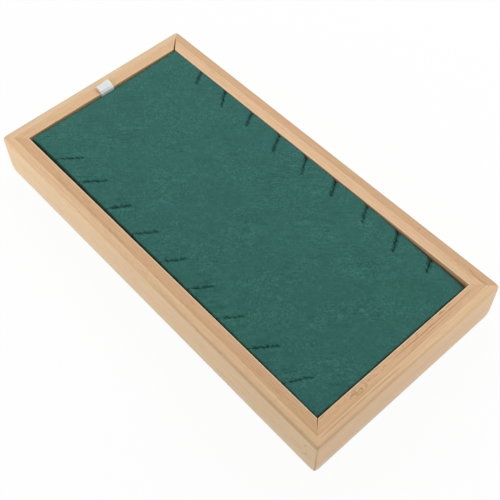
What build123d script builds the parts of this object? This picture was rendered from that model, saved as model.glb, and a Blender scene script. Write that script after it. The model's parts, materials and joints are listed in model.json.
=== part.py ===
from build123d import *
import os
from math import cos, radians, sin

# Necklace display tray: a shallow bamboo frame, mitred at its four corners, with a base panel in
# a groove and a padded suede insert that lifts out by a ribbon tab.
# X runs across the tray, Y along it with the tab at the +Y end, and Z up. The origin is the
# middle of the underside. All lengths are in millimetres and all angles in degrees.

# Wooden frame
tray_length = 350.0
tray_width = 177.0
tray_height = 38.0
rail_width = 15.0
corner_radius = 1.2
top_edge_radius = 1.3
bottom_edge_radius = 0.5
inner_edge_chamfer = 0.5

# Steel V-nails across each mitre, one above the other
nail_leg = 6.0
nail_thickness = 0.8
nail_height = 10.0
nail_inset = 5.0
nail_lift = 0.5
nail_spacing = 0.2
nails_per_corner = 2

# Base panel in the groove, and the felt under it
groove_depth = 5.0
groove_play = 0.2
base_lift = 5.0
base_thickness = 4.0
base_side_play = 0.4
felt_thickness = 1.0
felt_margin = 1.0

# Strips on the base panel that carry the insert
ledger_height = 7.0
ledger_play = 0.2
ledger_bearing = 4.0

# Padded insert
rim_recess = 0.8
rim_radius = 1.6
rim_turn = 80.0
rim_steps = 4
pad_corner_radius = 2.5
least_corner_radius = 1.0
draw_in = 0.5
crown_rise = 0.5
crown_run = 30.0
crown_steps = 4
cover_thickness = 0.8
board_thickness = 3.0
hem_width = 14.0
card_thickness = 1.5
card_margin = 4.0

# Slits along the two long sides of the pad
slits_per_side = 9
slit_pitch = 32.0
slit_length = 18.0
slit_width = 0.9
slit_floor = 4.5
slit_slant = 34.0
mouth_width = 3.4
mouth_length = 3.6
mouth_depth = 5.0

# Ribbon tab
ribbon_width = 12.5
ribbon_thickness = 0.35
ribbon_shift = 2.75
ribbon_play = 0.25
tail_length = 26.0
tab_reach = 10.0
near_gap = 0.5
loop_gap = 1.4
tip_gap = 0.9
rail_rest = 0.2
bead_bulge = 0.15
bead_play = 0.06
cup_span = 34.0

# What follows from these sizes
well_width = tray_width - 2 * rail_width
well_length = tray_length - 2 * rail_width
base_top = base_lift + base_thickness
card_bottom = base_top + ledger_height
card_top = card_bottom + card_thickness
hem_top = card_top + cover_thickness
board_top = hem_top + board_thickness
rim_top = tray_height - rim_recess
slit_bottom = board_top + slit_floor
tail_thickness = 2 * ribbon_thickness
pad_gap = tail_thickness + 2 * ribbon_play
pad_width = well_width - 2 * pad_gap
pad_length = well_length - 2 * pad_gap
ledger_width = pad_gap + card_margin + ledger_bearing - ledger_play
bead_radius = ribbon_thickness + bead_bulge
bead_y = (well_length - pad_gap) / 2
bead_z = tray_height + rail_rest + bead_radius
cut_margin = 5.0


def upright(outline, low, high):
    """The prism over a flat outline, from height low to height high."""
    return extrude(Pos(0, 0, low) * outline, high - low)


def rail_section():
    """Section of every rail: x runs in from the outer face, y is the height."""
    section = Rectangle(rail_width, tray_height, align=(Align.MIN, Align.MIN))
    outer = section.vertices().group_by(Axis.X)[0].sort_by(Axis.Y)
    section = fillet(outer[1], top_edge_radius)
    section = fillet(section.vertices().group_by(Axis.Y)[0].sort_by(Axis.X)[0], bottom_edge_radius)
    inner_top = section.vertices().group_by(Axis.X)[-1].sort_by(Axis.Y)[-1]
    section = chamfer(inner_top, inner_edge_chamfer)
    groove = Rectangle(groove_depth, base_thickness + groove_play, align=(Align.MAX, Align.MIN))
    return section - Pos(rail_width, base_lift) * groove


def rail(side_length, outer_distance):
    """A rail along Y with its outer face at x = -outer_distance and both ends mitred."""
    half = side_length / 2
    plane = Plane(origin=(-outer_distance, -half, 0), x_dir=(1, 0, 0), z_dir=(0, -1, 0))
    bar = extrude(plane * rail_section(), -side_length)
    mitred = Polyline(
        (-outer_distance, -half),
        (-outer_distance, half),
        (-outer_distance + rail_width, half - rail_width),
        (-outer_distance + rail_width, -half + rail_width),
        close=True,
    )
    return bar & upright(make_face(mitred), 0, tray_height)


def vee_outline(side_x, side_y):
    """Plan of a V-nail at one corner: a leg in each rail, the point on the mitre."""
    leg_x = Rectangle(nail_leg, nail_thickness, align=(Align.MAX, Align.MAX))
    leg_y = Rectangle(nail_thickness, nail_leg, align=(Align.MAX, Align.MAX))
    corner_x = tray_width / 2 - nail_inset
    corner_y = tray_length / 2 - nail_inset
    vee = Pos(corner_x, corner_y) * (leg_x + leg_y)
    if side_x < 0:
        vee = mirror(vee, Plane.YZ)
    if side_y < 0:
        vee = mirror(vee, Plane.XZ)
    return vee


def v_nails(vee):
    """The V-nails of one corner, each a solid of its own."""
    nails = []
    for number in range(nails_per_corner):
        low = nail_lift + number * (nail_height + nail_spacing)
        nails.append(upright(vee, low, low + nail_height))
    return Compound(children=nails)


def frame_rails(vees):
    """The four rails, rounded at the tray's corners and cut where the V-nails were driven in."""
    nail_reach = nail_lift + nails_per_corner * (nail_height + nail_spacing) - nail_spacing
    cuts = [upright(vee, 0, nail_reach) for vee in vees]
    long_rail = rail(tray_length, tray_width / 2)
    short_rail = rail(tray_width, tray_length / 2)
    outline = upright(RectangleRounded(tray_width, tray_length, corner_radius), 0, tray_height)
    rails = {
        "rail_left": long_rail,
        "rail_right": Rot(0, 0, 180) * long_rail,
        "rail_back": Rot(0, 0, -90) * short_rail,
        "rail_front": Rot(0, 0, 90) * short_rail,
    }
    for name, bar in rails.items():
        rails[name] = (bar & outline) - cuts
    return rails


def base_panel():
    """The floor of the tray, its edges in the groove of the rails."""
    reach = 2 * (groove_depth - base_side_play)
    return upright(Rectangle(well_width + reach, well_length + reach), base_lift, base_top)


def underside_felt():
    """The felt under the base panel, inside the frame."""
    sheet = Rectangle(well_width - 2 * felt_margin, well_length - 2 * felt_margin)
    return upright(sheet, base_lift - felt_thickness, base_lift)


def ledgers():
    """The strips that the insert rests on: two long ones, and two between them."""
    width = well_width - 2 * ledger_play
    length = well_length - 2 * ledger_play
    long_strip = upright(Rectangle(ledger_width, length), base_top, card_bottom)
    between = width - 2 * (ledger_width + ledger_play)
    short_strip = upright(Rectangle(between, ledger_width), base_top, card_bottom)
    shift_x = (width - ledger_width) / 2
    shift_y = (length - ledger_width) / 2
    return {
        "ledger_left": Pos(-shift_x, 0, 0) * long_strip,
        "ledger_right": Pos(shift_x, 0, 0) * long_strip,
        "ledger_back": Pos(0, shift_y, 0) * short_strip,
        "ledger_front": Pos(0, -shift_y, 0) * short_strip,
    }


def pad_outline(inset):
    """Rounded rectangle of the pad's plan, drawn in by inset on every side."""
    radius = max(pad_corner_radius - inset, least_corner_radius)
    return RectangleRounded(pad_width - 2 * inset, pad_length - 2 * inset, radius)


def pad_form(skin, bottom):
    """The cushion's form, skin below the cover's outside, down to the height bottom.

    The sides lean in by draw_in from the board to the rim, the rim is a quarter round, and the
    top rises from it along a parabola to a crown that is flat in the middle.
    """
    radius = rim_radius - skin
    rim_start = rim_top - rim_radius
    levels = [(skin, bottom), (skin, board_top), (skin + draw_in, rim_start)]
    for step in range(1, rim_steps + 1):
        turn = radians(rim_turn * step / rim_steps)
        levels.append((skin + draw_in + radius * (1 - cos(turn)), rim_start + radius * sin(turn)))
    for step in range(1, crown_steps + 1):
        share = step / crown_steps
        rise = crown_rise * (1 - (1 - share) ** 2)
        levels.append((draw_in + rim_radius + share * crown_run, rim_top - skin + rise))
    sections = [Pos(0, 0, height) * pad_outline(inset) for inset, height in levels]
    return loft(sections, ruled=True)


def slit_cutters():
    """One cutter a slit: the slanted cut and the notch where it meets the pad's side."""
    top = rim_top + crown_rise + cut_margin
    run = slit_length + cut_margin
    blade = Rectangle(run, slit_width, align=(Align.MAX, Align.CENTER))
    notch = Polyline(
        (cut_margin, -mouth_width / 2),
        (0, -mouth_width / 2),
        (-mouth_length, 0),
        (0, mouth_width / 2),
        (cut_margin, mouth_width / 2),
        close=True,
    )
    slit = Rot(0, 0, slit_slant) * Pos(cut_margin, 0) * upright(blade, slit_bottom, top)
    mouth = upright(make_face(notch), rim_top - mouth_depth, top)
    cutter = Pos(pad_width / 2 - draw_in, 0, 0) * (slit + mouth)
    cutters = []
    for number in range(slits_per_side):
        place = ((slits_per_side - 1) / 2 - number) * slit_pitch
        right = Pos(0, place, 0) * cutter
        cutters.append(right)
        cutters.append(mirror(right, Plane.YZ))
    return cutters


def insert_board():
    """The stiff board of the insert."""
    return upright(pad_outline(cover_thickness), hem_top, board_top)


def foam_pad(cutters):
    """The foam on the board, crowned and slit."""
    core = pad_form(cover_thickness, hem_top)
    return core - insert_board() - cutters


def suede_cover(cutters):
    """The cloth over foam and board, turned under as a hem and cut at the slits."""
    shell = pad_form(0, card_top) - pad_form(cover_thickness, hem_top)
    window = upright(pad_outline(hem_width), card_top - cut_margin, hem_top + cover_thickness / 2)
    return shell - window - cutters


def backing_card():
    """The card over the hems, with a pocket for the ribbon's tail."""
    card = upright(pad_outline(card_margin), card_bottom, card_top)
    width = ribbon_width + 2 * ribbon_play
    pocket = Rectangle(width, tail_length + cut_margin, align=(Align.CENTER, Align.MIN))
    place = Pos(ribbon_shift, pad_length / 2 - tail_length)
    return card - upright(place * pocket, card_top - tail_thickness, card_top + cut_margin)


def across_ribbon(section):
    """A section drawn in the YZ plane, carried over the ribbon's width."""
    plane = Plane(origin=(ribbon_shift, 0, 0), x_dir=(0, 1, 0), z_dir=(1, 0, 0))
    return extrude(plane * section, ribbon_width / 2, both=True)


def tab_root():
    """The doubled tail: flat over the card, up the gap behind the pad, ending in a bead."""
    tail_z = card_top - ribbon_thickness
    start_y = pad_length / 2 - tail_length
    points = [(start_y, tail_z), (bead_y, tail_z), (bead_y, bead_z)]
    line = FilletPolyline(*points, radius=pad_gap / 2)
    band = trace(line, tail_thickness)
    bead = Pos(bead_y, bead_z) * Circle(bead_radius)
    return across_ribbon(band + bead)


def tab_loop():
    """The loop on the back rail: a closed band whose near end is hollowed round the bead.

    The lower layer lies level over the rail, the tip is a half round, and the upper layer comes
    back as an arc.
    """
    low = tray_height + rail_rest
    cup_radius = bead_radius + bead_play
    near_y = bead_y + cup_radius * cos(radians(cup_span))
    near_z = low + tail_thickness + near_gap
    tip_radius = ribbon_thickness + tip_gap / 2
    tip_y = bead_y + tab_reach
    bend_y = tip_y - tip_radius
    under = Line((near_y, low), (bend_y, low))
    tip = ThreePointArc((bend_y, low), (tip_y, low + tip_radius), (bend_y, low + 2 * tip_radius))
    over_top = ((near_y + bend_y) / 2, low + tail_thickness + loop_gap)
    over = ThreePointArc((bend_y, low + 2 * tip_radius), over_top, (near_y, near_z))
    near = Line((near_y, near_z), (near_y, low))
    outline = make_face(Curve() + [under, tip, over, near])
    hollow = offset(outline, -ribbon_thickness)
    cup = Pos(bead_y, bead_z) * Circle(cup_radius)
    return across_ribbon(outline - hollow - cup)


corners = {
    "v_nails_back_left": (-1, 1),
    "v_nails_back_right": (1, 1),
    "v_nails_front_left": (-1, -1),
    "v_nails_front_right": (1, -1),
}
vees = {name: vee_outline(*sides) for name, sides in corners.items()}
cutters = slit_cutters()

parts = {}
parts.update(frame_rails(vees.values()))
parts.update({name: v_nails(vee) for name, vee in vees.items()})
parts["base_panel"] = base_panel()
parts["underside_felt"] = underside_felt()
parts.update(ledgers())
parts["insert_board"] = insert_board()
parts["foam_pad"] = foam_pad(cutters)
parts["suede_cover"] = suede_cover(cutters)
parts["backing_card"] = backing_card()
parts["tab_root"] = tab_root()
parts["tab_loop"] = tab_loop()

os.makedirs("parts", exist_ok=True)
for name, shape in parts.items():
    export_step(shape, f"parts/{name}.step")
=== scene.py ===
import json
import logging
from collections.abc import Callable
from dataclasses import dataclass
from enum import Enum
from functools import partial
from math import cos, pi, radians, sin

import bpy
import numpy as np
from mathutils import Matrix, Vector


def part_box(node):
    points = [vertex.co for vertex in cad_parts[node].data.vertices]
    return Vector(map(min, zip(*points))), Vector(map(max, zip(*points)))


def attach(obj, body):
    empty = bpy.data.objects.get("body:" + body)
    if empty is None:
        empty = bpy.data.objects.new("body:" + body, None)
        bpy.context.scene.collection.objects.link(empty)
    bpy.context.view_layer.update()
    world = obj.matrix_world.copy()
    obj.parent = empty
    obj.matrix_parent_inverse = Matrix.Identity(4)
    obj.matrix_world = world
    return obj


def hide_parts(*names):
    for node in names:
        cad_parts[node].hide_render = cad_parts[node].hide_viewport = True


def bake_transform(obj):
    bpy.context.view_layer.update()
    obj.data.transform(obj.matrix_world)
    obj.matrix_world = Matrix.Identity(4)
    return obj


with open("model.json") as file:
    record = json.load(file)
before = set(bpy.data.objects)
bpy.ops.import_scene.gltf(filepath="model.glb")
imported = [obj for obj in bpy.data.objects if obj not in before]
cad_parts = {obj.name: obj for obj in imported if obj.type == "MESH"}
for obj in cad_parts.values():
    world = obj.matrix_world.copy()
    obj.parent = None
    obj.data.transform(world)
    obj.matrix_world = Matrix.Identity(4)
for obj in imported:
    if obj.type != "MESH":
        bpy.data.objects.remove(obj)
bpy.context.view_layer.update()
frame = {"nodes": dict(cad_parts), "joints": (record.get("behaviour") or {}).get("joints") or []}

# The necklace display tray: a mitred frame of laminated bamboo round a padded suede insert with
# nine slits along each long side and a ribbon tab at the back end. X runs across the tray, Y
# along it towards the tab, Z up. Lengths are in metres, and MM turns millimetres into them.
MM = 0.001
SHARP_ANGLE = radians(38)
ARC_POINTS = 8

# What the suede and the ribbon read of their own mesh.
SLIT_EDGE = "slit_edge"
WEAVE_MAP = "weave"

# Sockets of the colour Mix node, which has a pair of each kind and is read by number.
MIX_SHARE, MIX_A, MIX_B, MIX_RESULT = 0, 6, 7, 2

Array = np.ndarray
Material = bpy.types.Material
Piece = bpy.types.Object
Socket = bpy.types.NodeSocket
AddNode = Callable[..., Socket]
Colour = Socket | tuple[float, float, float, float]
Inputs = dict[str | int, object] | tuple[object, ...]
Span = tuple[float, float]
Triple = tuple[float, float, float]

log = logging.getLogger("tray")


class Slot(Enum):
    """Names of the record's material slots."""

    BAMBOO = "bamboo"
    FELT = "felt"
    SUEDE = "suede"
    RIBBON = "ribbon"


class Side(Enum):
    """The frame's four sides: the node, the turn about Z in degrees and the run of the rail.

    The turn takes the tray's X and Y to a rail's own frame, where the first axis runs in from
    the outer face and the second runs along the rail.
    """

    LEFT = ("rail_left", 0.0, 1)
    RIGHT = ("rail_right", 180.0, 1)
    BACK = ("rail_back", 90.0, 0)
    FRONT = ("rail_front", -90.0, 0)

    @property
    def node(self) -> str:
        """Name of the rail's node."""
        return self.value[0]

    @property
    def turn(self) -> float:
        """Turn about Z from the tray's frame to the rail's, in radians."""
        return radians(self.value[1])

    @property
    def axis(self) -> int:
        """The tray's axis that the rail runs along."""
        return self.value[2]


def linear(colour: str) -> tuple[float, float, float, float]:
    """Turn an sRGB hex colour into linear light.

    Args:
        colour: Six hex digits after a hash sign.

    Returns:
        Red, green, blue and an alpha of 1.
    """
    values = [int(colour[place:place + 2], 16) / 255 for place in (1, 3, 5)]
    light = [v / 12.92 if v <= 0.04045 else ((v + 0.055) / 1.055) ** 2.4 for v in values]
    return (*light, 1.0)


def plug(node: bpy.types.Node, inputs: Inputs) -> None:
    """Link or set a node's input sockets.

    Args:
        node: The node.
        inputs: The socket or the value that each takes, by name or number, or in their order.
    """
    for name, value in inputs.items() if isinstance(inputs, dict) else enumerate(inputs):
        if isinstance(value, Socket):
            node.id_data.links.new(value, node.inputs[name])
        else:
            node.inputs[name].default_value = value


def add_node(
    tree: bpy.types.NodeTree,
    kind: str,
    inputs: Inputs = (),
    output: str | int = 0,
    **settings: object,
) -> Socket | None:
    """Add one shader node with its settings and links.

    Args:
        tree: The node tree that it goes into.
        kind: The node's type, without its first word.
        inputs: What its input sockets take, as for plug.
        output: The wanted output, by name or number.
        settings: The node's own settings.

    Returns:
        The output, or None for a node that has none.
    """
    node = tree.nodes.new(f"ShaderNode{kind}")
    for name, value in settings.items():
        setattr(node, name, value)
    plug(node, inputs)
    return node.outputs[output] if node.outputs else None


def stain(
    add: AddNode,
    colour: Colour,
    where: Socket,
    start: float,
    full: float,
    tone: str,
    strength: float = 1.0,
) -> Socket:
    """Mix a tone into a colour as a value runs from start to full.

    Args:
        add: Adds a node.
        colour: The colour so far.
        where: The value.
        start: Where the tone starts, above or below full.
        full: Where it has its full strength.
        tone: The tone, as sRGB hex.
        strength: How much of it comes in.

    Returns:
        The new colour.
    """
    share = add(
        "MapRange", {0: where, 1: start, 2: full, 4: strength}, interpolation_type="SMOOTHSTEP"
    )
    inputs = {MIX_SHARE: share, MIX_A: colour, MIX_B: linear(tone)}
    return add("Mix", inputs, MIX_RESULT, data_type="RGBA")


def shade(
    add: AddNode,
    colour: Colour,
    where: Socket,
    dark: str,
    light: str = "#FFFFFF",
    low: float = 0.3,
    high: float = 0.7,
) -> Socket:
    """Tint a colour from dark to light as a value runs from low to high.

    Args:
        add: Adds a node.
        colour: The colour so far.
        where: The value.
        dark: The tint up to low, as sRGB hex.
        light: The tint from high on.
        low: The value's lower bound.
        high: Its upper bound.

    Returns:
        The new colour.
    """
    share = add("MapRange", (where, low, high))
    tints = {MIX_SHARE: share, MIX_A: linear(dark), MIX_B: linear(light)}
    tint = add("Mix", tints, MIX_RESULT, data_type="RGBA")
    layers = {MIX_SHARE: 1.0, MIX_A: colour, MIX_B: tint}
    return add("Mix", layers, MIX_RESULT, data_type="RGBA", blend_type="MULTIPLY")


def grains(
    add: AddNode,
    place: Socket,
    size: Triple,
    seed: float = 0.0,
    detail: float = 2.0,
) -> Socket:
    """Add noise whose grains have a size of their own along each axis.

    Args:
        add: Adds a node.
        place: Where each point of the surface lies.
        size: A grain's size along X, Y and Z.
        seed: Shifts the pattern.
        detail: How many finer layers the noise has.

    Returns:
        A value between 0 and 1, mostly near a half.
    """
    scale = tuple(1 / length for length in size)
    inputs = {"Vector": place, "Location": (seed, 1.7 * seed, 0.6 * seed), "Scale": scale}
    cells = add("Mapping", inputs)
    inputs = {"Vector": cells, "Scale": 1.0, "Detail": detail, "Roughness": 0.58}
    return add("TexNoise", inputs)


def distance_to(add: AddNode, value: Socket, middle: float) -> Socket:
    """Add the distance of a value from a middle one, on either side of it."""
    apart = add("Math", (value, middle), operation="SUBTRACT")
    return add("Math", (apart,), operation="ABSOLUTE")


def tray_halves() -> Span:
    """Half the tray's width and half its length, from the rails' own boxes."""
    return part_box(Side.RIGHT.node)[1][0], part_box(Side.BACK.node)[1][1]


def smooth_rise(value: Array, start: float, full: float) -> Array:
    """A rise from 0 at start to 1 at full: 3t^2 - 2t^3, with t the value's share of the way."""
    share = np.clip((value - start) / (full - start), 0.0, 1.0)
    return share * share * (3 - 2 * share)


def waves(place: Array, spacing: float, seed: int) -> Array:
    """Smooth random waves along a line, between about -1 and 1.

    The formula is the mean of four sines, whose lengths are near the spacing and whose starts
    come from the seed.

    Args:
        place: Places along the line.
        spacing: The waves' usual length.
        seed: Seed of the starts.

    Returns:
        The waves' height at each place.
    """
    starts = np.random.default_rng(seed).uniform(0, 2 * pi, 4)
    lengths = spacing * np.array([0.53, 0.81, 1.27, 1.9])
    angles = 2 * pi * np.asarray(place)[..., None] / lengths + starts
    return np.sin(angles).mean(-1) * 1.6


def arc(centre: Span, radius: float, start: float, end: float) -> list[Span]:
    """Evenly turned points of an arc, from the start's angle to the end's in degrees."""
    turns = np.radians(np.linspace(start, end, ARC_POINTS))
    return [(centre[0] + radius * cos(turn), centre[1] + radius * sin(turn)) for turn in turns]


def grid_faces(rows: int, columns: int, closed: bool = False) -> Array:
    """Quads between the points of a grid that is numbered row by row.

    Args:
        rows: Number of rows.
        columns: Number of points in a row.
        closed: Whether each row joins its own start.

    Returns:
        An array of four point numbers a face.
    """
    row, column = np.meshgrid(
        np.arange(rows - 1), np.arange(columns if closed else columns - 1), indexing="ij"
    )
    beside = (column + 1) % columns
    first, second = row * columns, (row + 1) * columns
    quads = [first + column, first + beside, second + beside, second + column]
    return np.stack(quads, -1).reshape(-1, 4)


def grid_rim(rows: int, columns: int) -> Array:
    """Point numbers round the outside of a grid, in the turning sense of its quads.

    Args:
        rows: Number of rows.
        columns: Number of points in a row.

    Returns:
        The point numbers, each once.
    """
    first, last = np.arange(columns), (rows - 1) * columns + np.arange(columns - 1)[::-1]
    up, down = np.arange(1, rows) * columns + columns - 1, np.arange(1, rows - 1)[::-1] * columns
    return np.concatenate([first, up, last, down])


def make_mesh(name: str, points: Array, faces: list[Array]) -> Piece:
    """Make a smooth mesh object, sharp where its faces meet at more than SHARP_ANGLE.

    Args:
        name: The object's name.
        points: Its points, three numbers each, in metres.
        faces: Arrays of point numbers, a row for each face.

    Returns:
        The new object.
    """
    mesh = bpy.data.meshes.new(name)
    rows = [face for group in faces for face in group.tolist()]
    mesh.from_pydata(points.reshape(-1, 3).tolist(), [], rows)
    mesh.validate()
    mesh.polygons.foreach_set("use_smooth", np.ones(len(mesh.polygons), bool))
    mesh.set_sharp_from_angle(angle=SHARP_ANGLE)
    piece = bpy.data.objects.new(name, mesh)
    bpy.context.scene.collection.objects.link(piece)
    return piece


def settle_modifiers(piece: Piece) -> None:
    """Apply a piece's modifiers, so that its mesh is final.

    Args:
        piece: The mesh object.
    """
    graph = bpy.context.evaluated_depsgraph_get()
    mesh = bpy.data.meshes.new_from_object(piece.evaluated_get(graph))
    old = piece.data
    piece.modifiers.clear()
    piece.data = mesh
    mesh.name = piece.name
    bpy.data.meshes.remove(old)


def dress_node(name: str, material: Material) -> Piece:
    """Give a CAD node one material for all its faces.

    Args:
        name: The node.
        material: The material.

    Returns:
        The node's object.
    """
    node = frame["nodes"][name]
    node.data.materials.clear()
    node.data.materials.append(material)
    return node


@dataclass(frozen=True)
class Finish:
    """A surface finish: its name, and how dull and how reflective it is."""

    name: str
    roughness: float = 0.5
    reflection: float = 0.5

    def material(self) -> Material:
        """Make the finish's material.

        Returns:
            A new material of the finish's name.
        """
        material = bpy.data.materials.new(self.name)
        material.use_nodes = True
        shader = material.node_tree.nodes["Principled BSDF"]
        plug(shader, {"Roughness": self.roughness, "Specular IOR Level": self.reflection})
        self.dress(partial(add_node, material.node_tree), shader)
        return material

    def dress(self, add: AddNode, shader: bpy.types.Node) -> None:
        """Add the nodes of the colour and the relief.

        Args:
            add: Adds a node.
            shader: Its Principled shader.
        """
        raise NotImplementedError


@dataclass(frozen=True)
class RailSize:
    """A rail's sizes: its width and height, its outer face's distance from the tray's middle
    line, and half its length."""

    width: float
    height: float
    reach: float
    half: float

    @classmethod
    def read(cls, side: Side) -> "RailSize":
        """Read a rail's sizes from the frame.

        The half length comes from the whole tray, because the rounded corner cuts the tip off
        the rail itself.

        Args:
            side: The rail's side.

        Returns:
            Its sizes.
        """
        low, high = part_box(side.node)
        across = 1 - side.axis
        reach = max(abs(low[across]), abs(high[across]))
        return cls(high[across] - low[across], high[2], reach, tray_halves()[side.axis])


@dataclass(frozen=True)
class Knuckle:
    """A joint of the bamboo culm, cut through by the strip's face.

    It shows as rings drawn out along the rail: along and inward are its middle, reach is the
    outermost ring's size across the grain.
    """

    along: float
    inward: float
    reach: float
    strength: float = 0.5


@dataclass(frozen=True)
class GrainLine:
    """A fibre bundle that shows as a thin dark line along the rail, bowed in its middle.

    The line runs from start to end along the rail. It lies inward of the outer face by inward
    at its middle, and by bow less at its ends.
    """

    start: float
    end: float
    inward: float
    bow: float = 0.0
    width: float = 0.45 * MM
    strength: float = 0.5


@dataclass(frozen=True)
class Mark:
    """A small dark mark in the wood, such as a pinhole: where it is and how large."""

    inward: float
    along: float
    height: float
    size: float
    strength: float = 0.5


@dataclass(frozen=True)
class RailPlace:
    """Where a point of a rail's surface lies, as sockets: the whole place and its parts."""

    point: Socket
    inward: Socket
    along: Socket
    height: Socket


@dataclass(frozen=True, kw_only=True)
class LaminatedBamboo(Finish):
    """Carbonised bamboo strips glued side by side, planed, sanded and clear lacquered.

    It gives the eye two lengthwise bands with a fine glue line, straight fibres with short dark
    flecks, a few knuckles and marks, painted shade on the outer top edge, a painted highlight on
    the lighter sanded inner edge, an outer face painted paler at its foot for the table's bounce
    light, and a satin shine.
    """

    side: Side
    size: RailSize
    seed: float
    outer_tone: str
    inner_tone: str
    face_tone: str = "#F7D9B4"
    # Painted bounce light from the table, low on the outer face.
    foot_tone: str = "#FFF2E2"
    glue_tone: str = "#AD8357"
    fleck_tone: str = "#A67A50"
    mark_tone: str = "#8A6240"
    # Painted shade on the outer top edge.
    rubbed_tone: str = "#A98C6A"
    # Painted highlight on the lighter sanded inner top edge.
    crisp_tone: str = "#F4E1BD"
    wall_tone: str = "#D8A67C"
    # The glue line between the two strips: how far in it lies, how far it wanders, how soft the
    # step between the strips is, and how wide and how strongly it shows.
    seam: float = 6.8 * MM
    seam_wander: float = 1.2 * MM
    seam_blur: float = 0.45 * MM
    glue_reach: float = 0.5 * MM
    glue_strength: float = 0.3
    # How far in the outer strip's broad face shows, and the height below which it is painted
    # paler for the table's bounce light.
    face_reach: float = 1.1 * MM
    foot_height: float = 15 * MM
    foot_strength: float = 0.55
    # How strong the painted shade on the outer top edge is, how wide, and the places along the
    # rail over which it rises.
    rubbed_strength: float = 0.42
    rubbed_reach: float = 3.6 * MM
    rubbed_start: float = -500 * MM
    rubbed_full: float = -400 * MM
    # How strongly the painted highlight on the lighter sanded inner top edge shows, and how wide.
    crisp_strength: float = 0.42
    crisp_reach: float = 1.3 * MM
    # Cut bundles stand about 1.1 mm apart and show for some 7 mm: their cells in a metre.
    fleck_cells: Triple = (900, 140, 900)
    # How much the flecks show, the noise above which there are some and how softly they set in,
    # and the distances in from the outer face over which they rise.
    fleck_strength: float = 0.3
    fleck_cover: float = 0.54
    fleck_blur: float = 0.12
    fleck_start: float = -15.0 * MM
    fleck_full: float = 0.0
    knuckles: tuple[Knuckle, ...] = ()
    # A knuckle's rings: how far apart they stand, how far noise bends them, and their width
    # along the rail as a share of their length.
    ring_spacing: float = 1.5 * MM
    ring_bend: float = 5 * MM
    ring_draw: float = 0.36
    lines: tuple[GrainLine, ...] = ()
    marks: tuple[Mark, ...] = ()
    # Fibre bundles are about half a millimetre across and show in runs of 10 to 110 mm: width
    # and length of each layer of grain, and its darkest tint.
    grain: tuple[tuple[float, float, str], ...] = (
        (2.6 * MM, 120 * MM, "#F6F3EF"),
        (0.9 * MM, 34 * MM, "#F4F0EA"),
        (0.45 * MM, 10 * MM, "#F4F0EA"),
    )
    # Slow drift of the colour along a strip: its grains, and the tints that it runs between.
    drift_size: Triple = (11 * MM, 45 * MM, 11 * MM)
    drift_tints: tuple[str, str] = ("#FFF7F3", "#FCFFF4")
    fibre_depth: float = 0.12 * MM

    def dress(self, add: AddNode, shader: bpy.types.Node) -> None:
        """Add the strips, the grain, the knuckles, lines and marks, and the fibres' relief.

        Args:
            add: Adds a node.
            shader: Its Principled shader.
        """
        at = self.place(add)
        drift = grains(add, at.point, self.drift_size, self.seed)
        colour = self.strips(add, at, drift)
        colour = shade(add, colour, drift, *self.drift_tints, 0.2, 0.8)
        for number, (width, length, dark) in enumerate(self.grain):
            fibres = grains(add, at.point, (width, length, width), self.seed + 3.1 * number)
            colour = shade(add, colour, fibres, dark)
        colour, flecks = self.flecks(add, at, colour)
        bend = grains(add, at.point, (3 * MM, 9 * MM, 3 * MM), self.seed + 5.0, 1.0)
        for knuckle in self.knuckles:
            colour = self.rings(add, at, knuckle, bend, colour)
        for line in self.lines:
            colour = self.grain_line(add, at, line, fibres, colour)
        for mark in self.marks:
            spot = (mark.inward, mark.along, mark.height)
            off = add("VectorMath", (at.point, spot), "Value", operation="DISTANCE")
            full = 0.4 * mark.size
            colour = stain(add, colour, off, mark.size, full, self.mark_tone, mark.strength)
        colour = self.edges(add, at, drift, colour)
        dull, bright = self.roughness + 0.08, self.roughness - 0.06
        shine = add("MapRange", (fibres, 0.2, 0.8, bright, dull))
        relief = add("Math", (fibres, flecks), operation="SUBTRACT")
        bump = add("Bump", {"Height": relief, "Strength": 0.22, "Distance": self.fibre_depth})
        plug(shader, {"Base Color": colour, "Roughness": shine, "Normal": bump})

    def place(self, add: AddNode) -> RailPlace:
        """Turn Object coordinates into the rail's own frame.

        Args:
            add: Adds a node.

        Returns:
            The place and its parts.
        """
        place, shift = add("TexCoord", output="Object"), (self.size.reach, 0, 0)
        turn = (0, 0, self.side.turn)
        point = add("Mapping", {"Vector": place, "Location": shift, "Rotation": turn})
        return RailPlace(point, *add("SeparateXYZ", (point,)).node.outputs)

    def strips(self, add: AddNode, at: RailPlace, drift: Socket) -> Socket:
        """Colour the two strips, the glue line between them and the outer strip's broad face,
        which is painted paler at its foot for the table's bounce light.

        Args:
            add: Adds a node.
            at: Place on the rail.
            drift: Cloudy noise that lets the glue line wander.

        Returns:
            The colour.
        """
        inputs = (drift, self.seam_wander, at.inward)
        wander = add("Math", inputs, operation="MULTIPLY_ADD")
        # The noise is a half in the mean, so the line lies that much further on.
        seam, blur = self.seam + self.seam_wander / 2, self.seam_blur
        colour = linear(self.outer_tone)
        colour = stain(add, colour, wander, seam - blur, seam + blur, self.inner_tone)
        off = distance_to(add, wander, seam)
        start, full = self.glue_reach, 0.2 * self.glue_reach
        colour = stain(add, colour, off, start, full, self.glue_tone, self.glue_strength)
        colour = stain(add, colour, at.inward, self.face_reach, 0.3 * MM, self.face_tone)
        # On the outer face this sum is the height, and further in it's above the tray.
        rise = add("Math", (at.inward, 40.0, at.height), operation="MULTIPLY_ADD")
        # The outer face is painted paler towards its foot, for the table's bounce light.
        return stain(add, colour, rise, self.foot_height, 0.0, self.foot_tone, self.foot_strength)

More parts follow.
